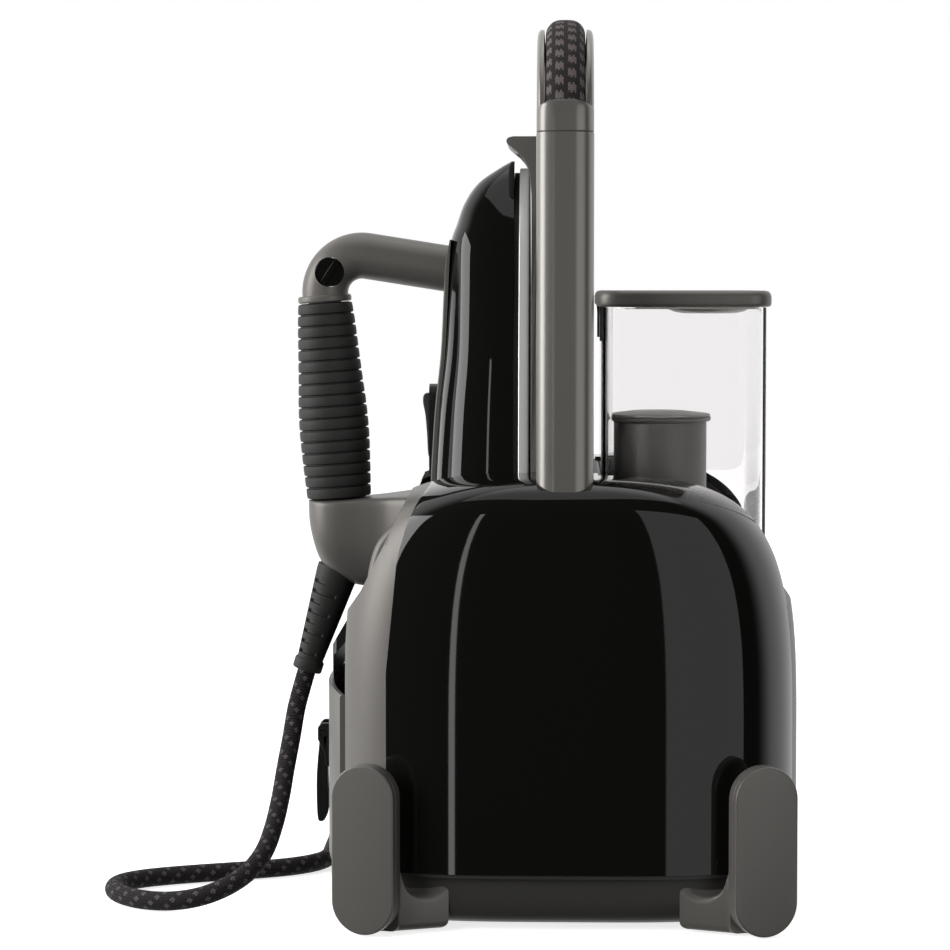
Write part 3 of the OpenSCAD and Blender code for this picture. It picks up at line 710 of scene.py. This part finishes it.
def slab_ring(y, inset, steps=40):
    r = POST_W / 2 - inset
    low, high = POST_LOW + POST_W / 2, POST_TOP - POST_W / 2
    upper = [(r * math.cos(math.pi * k / steps), y, high + r * math.sin(math.pi * k / steps)) for k in range(steps + 1)]
    lower = [(-r * math.cos(math.pi * k / steps), y, low - r * math.sin(math.pi * k / steps)) for k in range(steps + 1)]
    return upper + lower


def slab_rings(back, face, back_r, face_r, steps=6):
    rings = []
    for k in range(steps + 1):
        t = math.pi / 2 * k / steps
        rings.append(slab_ring(back + back_r * (1 - math.sin(t)), back_r * (1 - math.cos(t))))
    rings.reverse()
    for k in range(steps + 1):
        t = math.pi / 2 * k / steps
        rings.append(slab_ring(face - face_r * (1 - math.sin(t)), face_r * (1 - math.cos(t))))
    return rings


def arm_rings():
    """The arm behind a post: it dips in the middle and widens to the pan."""
    rings = []
    for reach in [4.2, 4.8, 5.4, 6.2, 7.2, 8.4, 9.5, 11, 13, 15, 17, 18.5, 20, 21.5, 23, 26, 30.5]:
        top = value_at(ARM_TOP, reach)
        low = 1.4
        inner = -14 - 19 * min(1.0, max(0.0, (reach - 5) / 17))
        section = rounded_section(11 - inner, top - low, 3.6, 6)
        rings.append([((11 + inner) / 2 + a, -reach, (top + low) / 2 + b) for a, b in section])
    return rings


def moved(rings, sx, sy):
    return [[from_corner(p, sx, sy) for p in ring] for ring in rings]


def make_post(name, sx, sy):
    slab = loft("slab", moved(slab_rings(-5.0, 1.6, 2.2, 0.5), sx, sy))
    arm = loft("arm", moved(arm_rings(), sx, sy))
    pan = loft("pan_cut", [plan_ring(HALF_L - 4.9, HALF_D - 4.9, z) for z in (-1, 24.2)])
    lip = loft("lip_cut", [plan_ring(HALF_L + 0.6, HALF_D + 0.6, z) for z in (24.0, 60)])
    foot = turned("foot_cut", [(8.1, -1), (8.1, 4.1)], from_corner((0, -16, 0), sx, sy), (0, 0, 1), 48)
    cutters = [pan, lip, foot]
    if sx < 0 < sy:
        cutters.append(block("outlet_cut", (-69, 100, -1), (-39, 140, 39)))
    carve(arm, cutters)
    give(joined("post_" + name, [slab, arm]), "station", "satin_grey", "foot_post_" + name)
    cover = loft("pad_" + name, moved(slab_rings(1.65, 5.0, 0.3, 1.1), sx, sy))
    give(cover, "station", "satin_grey", "foot_cover_" + name)


def make_posts():
    for front, sx in (("front", -1), ("rear", 1)):
        for near, sy in (("near", -1), ("far", 1)):
            make_post(front + "_" + near, sx, sy)


# ---- Carry arch ----
LEG_W = 26.2
LEG_D = 23.0
ARCH_R = 44.0
ARCH_STRAIGHT = 363.0
CHEEK_X = 9.8
CHEEK_IN = 1.75


def arch_path(start_turn, middle_steps=24):
    """The arch's centre line from one collar over the top to the other."""
    y0 = LEG_Y - ARCH_R
    near = [(0, -y0 - ARCH_R * math.cos(math.radians(t)), ARCH_STRAIGHT + ARCH_R * math.sin(math.radians(t)))
            for t in [start_turn + (90 - start_turn) * k / 40 for k in range(41)]]
    middle = [(0, -y0 + 2 * y0 * k / middle_steps, ARCH_STRAIGHT + ARCH_R) for k in range(1, middle_steps)]
    far = [(x, -y, z) for x, y, z in reversed(near)]
    return near + middle + far


def make_legs():
    outline = rounded_section(LEG_W, LEG_D, 9.0, 16)
    rings = [[(x * s, y * s - LEG_Y, z) for x, y in outline]
             for s, z in ((1.0, 150.0), (1.0, 362.3), (0.99, 362.8), (0.97, 363.0))]
    near = loft("leg_near_tube", rings)
    far = mirrored("leg_far_tube", near)
    give(near, "station", "arch_metal", "arch_leg_near")
    give(far, "station", "arch_metal", "arch_leg_far")


def collar_ring(turn, scale, crest):
    """A ring of a collar. crest lifts the middle of its end into a low arc."""
    ring = []
    for a, b in rounded_section(LEG_W - 0.2, LEG_D - 0.2, 8.8, 16):
        extra = crest * (1 - (a / 13.0) ** 2)
        t = math.radians(turn) + extra / ARCH_R
        reach = ARCH_R + b * scale
        ring.append((a * scale, -(LEG_Y - ARCH_R) - reach * math.cos(t), ARCH_STRAIGHT + reach * math.sin(t)))
    return ring


def make_collars():
    levels = [(0.1, 0.97, 0), (0.5, 1.0, 0)] + [(t, 1.0, 0) for t in (2, 4, 6, 8, 10)]
    levels += [(11.0, 1.0, 0.9), (12.2, 1.0, 1.8), (12.9, 0.985, 1.8), (13.1, 0.96, 1.8)]
    near = loft("collar_near", [collar_ring(*level) for level in levels])
    far = mirrored("collar_far", near)
    give(joined("collar_skins", [near, far]), "station", "arch_metal", "arch_collars")


def make_core():
    path = arch_path(12.0)
    core = swept("textile_grip", path, rounded_section(18.2, 20.0, 7.0, 8), (1, 0, 0))
    give(core, "station", "grip_textile", "arch_core")


def cheek_section():
    """A strip with a flat inner face and an outer face that curves in at both edges."""
    outer = [(3.2 * math.cos(t) ** 0.5, CHEEK_IN + 7.25 * math.copysign(abs(math.sin(t)) ** 0.75, math.sin(t)))
             for t in [math.radians(-84 + 168 * k / 24) for k in range(25)]]
    return [(0.0, CHEEK_IN - 7.15)] + outer + [(0.0, CHEEK_IN + 7.15)]


def make_cheeks():
    section = cheek_section()
    rear = swept("cheek_rear", arch_path(10.0), [(CHEEK_X + a, b) for a, b in section], (1, 0, 0))
    front = swept("cheek_front", arch_path(10.0), [(-CHEEK_X - a, b) for a, b in section], (1, 0, 0))
    give(joined("cheek_skins", [rear, front]), "station", "arch_metal", "arch_cheeks")


# ---- Nose guard ----
GUARD_HALF = [(206, 60), (245, 59), (290, 54), (325, 46), (348, 38), (359, 33), (364, 27), (365.5, 22)]
GUARD_FACE = [(-16, 206), (-16, 270), (-16, 325), (-16.3, 340), (-17.2, 348), (-19.2, 353), (-22, 356.6),
              (-25.2, 359.3), (-27.6, 361.4), (-28.2, 363.2), (-27.2, 364.8), (-25, 365.5)]


def make_nose_guard():
    face = curve_through([(x, 0, z) for x, z in GUARD_FACE], 5)
    profile = [(x, z) for x, _, z in face] + [(-19, 365.5), (-14, 365.5), (-13.2, 365.2), (-13, 364.5)]
    profile += [(-13, z) for z in (350, 325, 290, 245, 206)]
    rings = []
    for k in range(61):
        t = -1 + 2 * k / 60
        ring = []
        for x, z in profile:
            y = t * value_at(GUARD_HALF, z)
            hollow = min(1.0, max(0.0, (30 - abs(y)) / 3)) if z < 359 else 0.0
            ring.append((x + (max(x, -16.1) - x) * hollow, y, z))
        rings.append(ring)
    guard = loft("guard_skin", rings)
    give(round_edges(guard, 0.6, 3, 50), "station", "satin_grey", "nose_guard")


make_side_walls()
make_rear_cover()
make_base_pan()
make_front_cover()
make_liner()
make_posts()
make_legs()
make_collars()
make_core()
make_cheeks()
make_nose_guard()


# ---- Iron ----
SOLE_TIP = 351.0
SOLE_WIDE_Z = 175.0
SOLE_HALF = 57.0
CASE_TIP = 354.5
CASE_FACE = -24.6
CASE_HALF = 54.0
CASE_BACK = [(137, 62), (150, 63.5), (175, 63.5), (199, 63.3), (217, 62.4), (237, 61), (262, 58.4), (291, 57),
             (316, 55.5), (323, 53), (334, 49), (344, 42), (351, 32), (354.4, 26)]
GRIP_TOP = (-117.5, 0.0, 287.0)
GRIP_FOOT = (-110.7, 0.0, 190.0)
GRIP_LEN = math.hypot(GRIP_FOOT[0] - GRIP_TOP[0], GRIP_FOOT[2] - GRIP_TOP[2])
GRIP_DOWN = (GRIP_FOOT[0] - GRIP_TOP[0], 0.0, GRIP_FOOT[2] - GRIP_TOP[2])
GRIP_RIBS = 17
GRIP_SHAPE = [(0, 13.0), (0.11, 14.0), (0.26, 14.9), (0.41, 15.8), (0.52, 16.6), (0.67, 17.0), (0.82, 16.5),
              (0.92, 16.0), (1, 15.6)]
TUBE_R = 11.25
BOOT_TOP = (-112.0, 0.0, 152.6)
BOOT_END = (-127.0, 0.0, 104.9)
BOOT_LEN = math.hypot(BOOT_END[0] - BOOT_TOP[0], BOOT_END[2] - BOOT_TOP[2])


def bow(z, half, tip):
    """Half width of the iron's outline at a height."""
    t = min(1.0, max(0.0, (tip - z) / (tip - SOLE_WIDE_Z)))
    return half * (1 - (1 - t) ** 2.2) ** 0.62


def case_ring(z, inset, steps=40):
    half = max(0.3, bow(z, CASE_HALF, CASE_TIP) - inset)
    reach = value_at(CASE_BACK, z) - inset + CASE_FACE
    ring = []
    for k in range(steps + 1):
        t = math.radians(-90 + 180 * k / steps)
        ring.append((CASE_FACE - reach * abs(math.cos(t)) ** 0.62, half * bend_to(math.sin(t), 3), z))
    return ring


def trigger_slot(name):
    return block(name, (-80, -6, 203), (-50, 6, 248))


def make_iron_shell():
    levels = [(137.0, 1.5), (137.4, 0.8), (138.2, 0.2), (139.0, 0.0)]
    levels += [(139 + 215.3 * math.sin(math.pi / 2 * k / 60), 0.0) for k in range(1, 61)]
    shell = loft("iron_casing", [case_ring(*level) for level in levels])
    give(carve(shell, [trigger_slot("shell_slot")]), "iron", "gloss_black", "iron_shell")


def make_spine():
    """The grey strip down the iron's back, which stands proud of the casing."""
    rings = []
    for k in range(49):
        z = 199 + 117 * k / 48
        back = -value_at(CASE_BACK, z)
        rise = min(1.0, 0.1 + (316 - z) / 16)
        rings.append([(back + 0.6, -20, z), (back + 0.6, 20, z), (back - 1.0 * rise, 20, z),
                      (back - 1.45 * rise, 19.2, z), (back - 1.6 * rise, 18, z), (back - 1.6 * rise, -18, z),
                      (back - 1.45 * rise, -19.2, z), (back - 1.0 * rise, -20, z)])
    spine = carve(loft("spine_strip", rings), [trigger_slot("spine_slot")])
    give(spine, "iron", "satin_grey", "spine_cover")


def sole_line():
    levels = [SOLE_TIP - 199 * (k / 40) ** 2 for k in range(41)]
    half = [(bow(z, SOLE_HALF, SOLE_TIP), z) for z in levels] + [(56.7, 147.5), (55.4, 143), (53, 139.2), (49.5, 137)]
    half[0] = (0.6, SOLE_TIP - 0.1)
    return half + [(-y, z) for y, z in reversed(half)]


def sole_rings(steps):
    line = sole_line()
    return [[(x, y, z) for y, z in inset_line(line, inset)] for x, inset in steps]


def make_soleplate():
    plate_steps = [(-22.0, 0.3), (-21.7, 0.0), (-18.4, 0.0), (-17.5, 0.4), (-17.1, 1.0), (-17.0, 1.7)]
    give(loft("sole_sheet", sole_rings(plate_steps)), "iron", "aluminium", "soleplate")
    give(loft("sole_seal", sole_rings([(-24.5, 2.2), (-22.02, 2.2)])), "iron", "black_plastic", "sole_insulator")


def tube_path():
    """Centre line of the handle tube: out of the casing, round its bend and down to the grip."""
    centre = (-99.3, 290.6)
    start, end = 90 - 8.7, 180 + 4.0
    line = [(-55.5, 301.9)] + [(-55.5 - 41.08 * k / 8, 301.9 + 6.49 * k / 8) for k in range(1, 8)]
    line += arc(centre, 18.0, start, end, 36)
    line.append((-117.0, 286.4))
    return [(x, 0.0, z) for x, z in line]


def make_handle_tube():
    tube = swept("handle_bar", tube_path(), circle_section(TUBE_R, 72), (0, 1, 0))
    hole = turned("cap_hole", [(7.2, -30), (7.2, 30)], (-114.5, 0, 300.5), (0, 1, 0))
    carve(tube, [hole])
    lip = turned("lip", [(9, -2.2), (12.2, -2.2), (12.9, -1.7), (13.1, -0.6), (13.0, 0.6), (12.5, 1.2), (9, 1.2)],
                 GRIP_TOP, GRIP_DOWN)
    core = turned("core", [(8, 0), (8, GRIP_LEN + 12)], GRIP_TOP, GRIP_DOWN, 48)
    give(joined("handle_tube_skin", [tube, lip, core]), "iron", "satin_grey", "handle_tube")


def grip_r(f):
    """Radius of the grip at a fraction of its length from the top."""
    return value_at(GRIP_SHAPE, f)


def make_grip():
    """A rubber sleeve of flat ribs with narrow grooves between them."""
    pitch = (GRIP_LEN - 1.6) / GRIP_RIBS
    profile = [(8.1, 1.4), (11.5, 1.4)]
    for k in range(GRIP_RIBS):
        for part, depth in ((0.04, 1.3), (0.07, 0.45), (0.12, 0.1), (0.2, 0), (0.5, -0.05), (0.8, 0), (0.88, 0.1),
                            (0.93, 0.45), (0.96, 1.3)):
            s = 1.4 + pitch * (k + part)
            profile.append((grip_r(s / GRIP_LEN) - depth, s))
    profile += [(13.0, GRIP_LEN), (8.1, GRIP_LEN)]
    grip = turned("grip_ribs", profile, GRIP_TOP, GRIP_DOWN, 96, True, 30.0)
    give(grip, "iron", "rubber", "grip_sleeve")


BASE_TOP = [(-125.6, 188.8), (-97, 190.6), (-66.5, 193.6), (-56, 193.8)]
BASE_LOW = [(-125.6, 184.0), (-125.2, 178), (-123.2, 168.5), (-120.6, 161), (-117, 155.2), (-111, 150.8), (-103, 147.6),
            (-92, 146.4), (-66.5, 147), (-56, 147)]
BASE_HALF = [(-108.6, 17.0), (-97, 17.6), (-88, 20.0), (-78, 27.0), (-66.5, 36.0), (-56, 38.0)]


def base_ring(x, steps=24):
    top = value_at(BASE_TOP, x)
    low = value_at(BASE_LOW, x)
    half = value_at(BASE_HALF, x)
    if x < -108.6:
        half = 17.0 * math.sqrt(max(0.004, 1 - ((x + 108.6) / 17.05) ** 2))
    middle = top - 0.3 * (top - low)
    ring = []
    for k in range(2 * steps):
        t = math.pi * k / steps
        c, s = math.cos(t), math.sin(t)
        if s >= 0:
            ring.append((x, half * bend_to(c, 9), middle + (top - middle) * bend_to(s, 9)))
        else:
            ring.append((x, half * bend_to(c, 2.5), middle + (middle - low) * bend_to(s, 2.5)))
    return ring


def make_handle_base():
    places = [-125.6 + 17 * (1 - math.cos(math.pi / 2 * k / 16)) for k in range(17)]
    places += [-108.6 + 52.6 * k / 26 for k in range(1, 27)]
    base = loft("handle_foot", [base_ring(x) for x in places], False, 50.0)
    give(base, "iron", "satin_grey", "handle_base")


BOOT_ROWS = 8
BOOT_FIRST = 5.6
BOOT_PITCH = 5.05
BOOT_COLLAR = 5.5


def boot_slot(row, turn):
    """1 inside one of the boot's slots. Rows of short and long slots take turns."""
    t = abs(turn)
    reach = 70 if row % 2 == 0 else 112
    return 1.0 if 18 < t < reach or 150 < t < 166 else 0.0


def boot_levels():
    taper = (10.25 - 6.4) / (BOOT_LEN - BOOT_COLLAR)
    levels = [(-2.9, 10.25, None), (0.0, 10.25, None)]
    for row in range(BOOT_ROWS):
        s = BOOT_FIRST + BOOT_PITCH * row
        for shift, inside in ((-0.9, None), (-0.75, row), (0.75, row), (0.9, None)):
            levels.append((s + shift, 10.25 - taper * (s + shift), inside))
    end = BOOT_LEN - BOOT_COLLAR
    levels += [(end - 0.6, 6.45, None), (end, 7.0, None), (end + 0.5, 7.3, None), (BOOT_LEN - 0.7, 7.3, None),
               (BOOT_LEN - 0.1, 6.9, None), (BOOT_LEN, 5.0, None)]
    return levels


def make_boot():
    d = (Vector(BOOT_END) - Vector(BOOT_TOP)).normalized()
    u = Vector((d.z, 0.0, -d.x))
    v = Vector((0.0, -1.0, 0.0))
    sides = 120
    rings = []
    for s, r, row in boot_levels():
        ring = []
        for k in range(sides):
            turn = -180 + 360 * (k + 0.5) / sides
            depth = 1.5 * boot_slot(row, turn) if row is not None else 0.0
            t = math.radians(turn)
            ring.append(tuple(Vector(BOOT_TOP) + d * s + (u * math.cos(t) + v * math.sin(t)) * (r - depth)))
        rings.append(ring)
    give(loft("boot_sleeve", rings, False, 40.0), "iron", "rubber", "hose_boot")


def closed_curve(points, steps):
    """A smooth closed line through points."""
    n = len(points)
    wide = [points[(k - 2) % n] for k in range(n + 5)]
    line = curve_through([(x, 0, z) for x, z in wide], steps)
    return [(x, z) for x, _, z in line[2 * steps:(n + 2) * steps]]


def make_trigger():
    outline = [(-66.4, 210), (-67.4, 222), (-68.2, 231), (-69.3, 237), (-68.9, 240.6), (-66.8, 241.4), (-64, 238.4),
               (-62, 232), (-60.9, 222), (-62.6, 211)]
    lever = plate("trigger_lever", closed_curve(outline, 5), -4.8, 4.8)
    round_edges(lever, 1.0)
    give(lever, "steam_trigger", "dark_plastic", "steam_trigger")


make_iron_shell()
make_spine()
make_soleplate()
make_handle_tube()
make_grip()
make_handle_base()
make_boot()
make_trigger()

# ---- Water tank ----
TANK_X = 17.5
TANK_L = 76.5
TANK_D = 152.0
TANK_Z = 150.0
TANK_RIM = 284.0
TANK_WALL = 2.2
HINGE = (18.8, 287.8)
CARTRIDGE_X = 45.7


def box_ring(low_x, high_x, half_y, radius, z):
    """A rounded rectangle in plan."""
    mid = (low_x + high_x) / 2
    return [(mid + a, b, z) for a, b in rounded_section(high_x - low_x, 2 * half_y, radius, 12)]


def tank_ring(inset, z):
    return box_ring(TANK_X + inset, TANK_X + TANK_L - inset, TANK_D / 2 - inset, 12 - inset, z)


def make_tank_shell():
    steps = [(3.0, 150.0), (1.6, 150.3), (0.6, 151.0), (0.1, 152.2), (0.0, 154.0), (0.0, 283.4), (0.4, 283.8),
             (1.8, 283.8), (2.2, 283.4), (2.2, 156.0), (2.6, 153.6), (3.6, 152.6), (5.2, 152.2)]
    give(loft("clear_tank_wall", [tank_ring(i, z) for i, z in steps]), "tank", "clear_tank", "tank_shell")


def make_cartridge():
    low, high = TANK_Z + TANK_WALL + 0.1, 230.0
    cup = turned("cup", [(1, low), (22.5, low), (23.3, low + 0.8), (23.5, low + 2), (23.5, high - 2.6), (25.3, high - 2),
                         (25.6, high - 1.4), (25.6, high - 0.4), (25.2, high), (21.5, high), (21.5, low + 3), (1, low + 3)],
                 (CARTRIDGE_X, 0, 0), (0, 0, 1))
    give(cup, "tank", "dark_plastic", "filter_cartridge")
    cap = turned("cartridge_lid", [(1, 230.1), (25.0, 230.1), (25.4, 230.5), (25.2, 231.2), (24.2, 231.5), (21, 231.9),
                                   (14.6, 232.6), (13.4, 232.8), (1, 232.8)], (CARTRIDGE_X, 0, 0), (0, 0, 1))
    give(cap, "tank", "satin_grey", "cartridge_cap")


def lid_ring(inset, z):
    return box_ring(HINGE[0] - 3.8 + inset, TANK_X + TANK_L + 2.3 - inset, TANK_D / 2 - inset, 11 - inset, z)


def make_lid():
    top = loft("lid_top", [lid_ring(i, z) for i, z in (
        (1.6, 284.0), (0.8, 284.2), (0.2, 284.8), (0.0, 285.6), (0.0, 288.6), (0.4, 290.1), (1.4, 291.2), (3.0, 291.6))])
    collar = loft("lid_collar", [box_ring(28.0, 91.0, 73.2, 9, z) for z in (283.0, 284.2)])
    dish = turned("dish", [(1, 280.4), (13, 280.5), (17, 281.3), (20, 282.6), (21.6, 284.2), (1, 284.2)], (70, 0, 0), (0, 0, 1))
    lid = joined("lid_skin", [top, collar, dish])
    cuts = [block("ear_cut", (HINGE[0] - 6, y - 4.3, 280), (HINGE[0] + 4.2, y + 4.3, 295)) for y in (-58, 58)]
    give(carve(lid, cuts), "tank_lid", "satin_grey", "tank_lid")


make_tank_shell()
make_cartridge()
make_lid()

# ---- Cord clip ----
LEVER_EDGE = [(-120.6, 69.5), (-120.8, 75.0), (-119.7, 77.4), (-117.2, 77.4), (-116.2, 75), (-116.4, 69),
              (-116.6, 60), (-116.4, 46), (-116.2, 38), (-117.4, 32), (-119.8, 30.2), (-121.6, 33), (-122.0, 50),
              (-121.3, 62)]


def make_clip_lever():
    lever = plate("clip_arm", closed_curve(LEVER_EDGE, 5), -5, 5)
    carve(lever, [block("fork", (-130, -2, 20), (-110, 2, 46))])
    round_edges(lever, 0.7)
    pin = turned("clip_pin", [(1.2, -8.5), (1.2, 8.5)], (-118.6, 0, 74.5), (0, 1, 0), 32)
    pin.parent = lever
    pin.data.materials.append(LOOKS["black_plastic"])
    give(lever, "clip_lever", "black_plastic", "clip_lever")


make_clip_lever()


# ---- CAD pieces shown as they are ----
EDGE_WIDTHS = {"tank_seat": 0.5, "dock_tray": 0.5, "top_bridge": 0.4, "clip_lever": 0.8, "clip_bracket": 0.5,
               "power_button": 1.0, "rinse_cap": 1.0, "rubber_feet": 0.5, "trigger_bezel": 0.8}


def finish_cad_pieces():
    for name, obj in frame["nodes"].items():
        if obj.hide_render:
            continue
        obj.data.materials.clear()
        obj.data.materials.append(LOOKS[SLOTS[name]])
        weld = obj.modifiers.new("weld", "WELD")
        weld.merge_threshold = 0.00001
        round_edges(obj, EDGE_WIDTHS.get(name, 0.3), 2)


finish_cad_pieces()


# ---- Light and finish ----
def make_world():
    """White behind the object, dark in front of it, as in a tent lit from behind."""
    world = bpy.data.worlds.new("studio")
    bpy.context.scene.world = world
    world.use_nodes = True
    tree = world.node_tree
    tree.nodes.clear()
    place = node(tree, "ShaderNodeTexCoord")
    split = node(tree, "ShaderNodeSeparateXYZ")
    ramp = node(tree, "ShaderNodeMapRange", interpolation_type="SMOOTHSTEP")
    ramp.inputs["From Min"].default_value = -0.15
    ramp.inputs["From Max"].default_value = 0.35
    ramp.inputs["To Min"].default_value = 0.03
    ramp.inputs["To Max"].default_value = 0.95
    seen = node(tree, "ShaderNodeLightPath")
    shown = maths(tree, "MAXIMUM", seen.outputs["Is Camera Ray"], seen.outputs["Is Transmission Ray"])
    level = maths(tree, "MAXIMUM", ramp.outputs["Result"], shown)
    ground = node(tree, "ShaderNodeBackground")
    ground.inputs["Color"].default_value = (1.0, 1.0, 1.0, 1.0)
    out = node(tree, "ShaderNodeOutputWorld")
    tree.links.new(place.outputs["Generated"], split.inputs[0])
    tree.links.new(split.outputs["Y"], ramp.inputs["Value"])
    tree.links.new(level, ground.inputs["Strength"])
    tree.links.new(ground.outputs[0], out.inputs["Surface"])


def softbox(name, place, target, width, height, level):
    """A rectangular light in metres. level is its brightness as seen, where white paper in full light is 1."""
    data = bpy.data.lights.new(name, "AREA")
    data.shape = "RECTANGLE"
    data.size = width
    data.size_y = height
    data.energy = level * math.pi * width * height
    obj = link(name, data)
    obj.location = place
    obj.rotation_euler = (Vector(target) - Vector(place)).to_track_quat("-Z", "Y").to_euler()
    obj.visible_camera = False
    return obj


def make_lights():
    softbox("band_right", (1.05, -1.40, 0.45), (0.06, -0.12, 0.45), 1.60, 1.75, 0.75)
    softbox("streak_left", (-0.46, -1.66, 0.20), (-0.04, -0.12, 0.20), 0.065, 1.25, 2.6)
    softbox("key_left", (-1.90, -0.20, 0.75), (-0.05, 0.0, 0.20), 1.10, 1.50, 4.2)
    fill = softbox("fill_left", (-1.45, -1.45, 0.80), (-0.02, -0.10, 0.20), 1.00, 1.50, 6.6)
    fill.visible_glossy = False
    softbox("top", (0.10, -0.10, 1.90), (0.0, 0.0, 0.2), 1.60, 1.20, 0.8)


def make_floor():
    points = [(x, y, -0.25) for x, y in ((-3000, -3000), (3000, -3000), (3000, 3000), (-3000, 3000))]
    mesh = bpy.data.meshes.new("floor")
    mesh.from_pydata([at(*p) for p in points], [], [(0, 1, 2, 3)])
    floor = link("floor", mesh)
    look, tree, shader = start_look("floor", tint(240, 240, 240), 0.9, 0.0, 0.0)
    shader.inputs["Emission Color"].default_value = (1.0, 1.0, 1.0, 1.0)
    shader.inputs["Emission Strength"].default_value = 0.75
    floor.data.materials.append(look)
    floor.visible_glossy = False
    floor.visible_diffuse = False


make_world()
make_lights()
make_floor()
bpy.context.scene.view_settings.view_transform = "Standard"
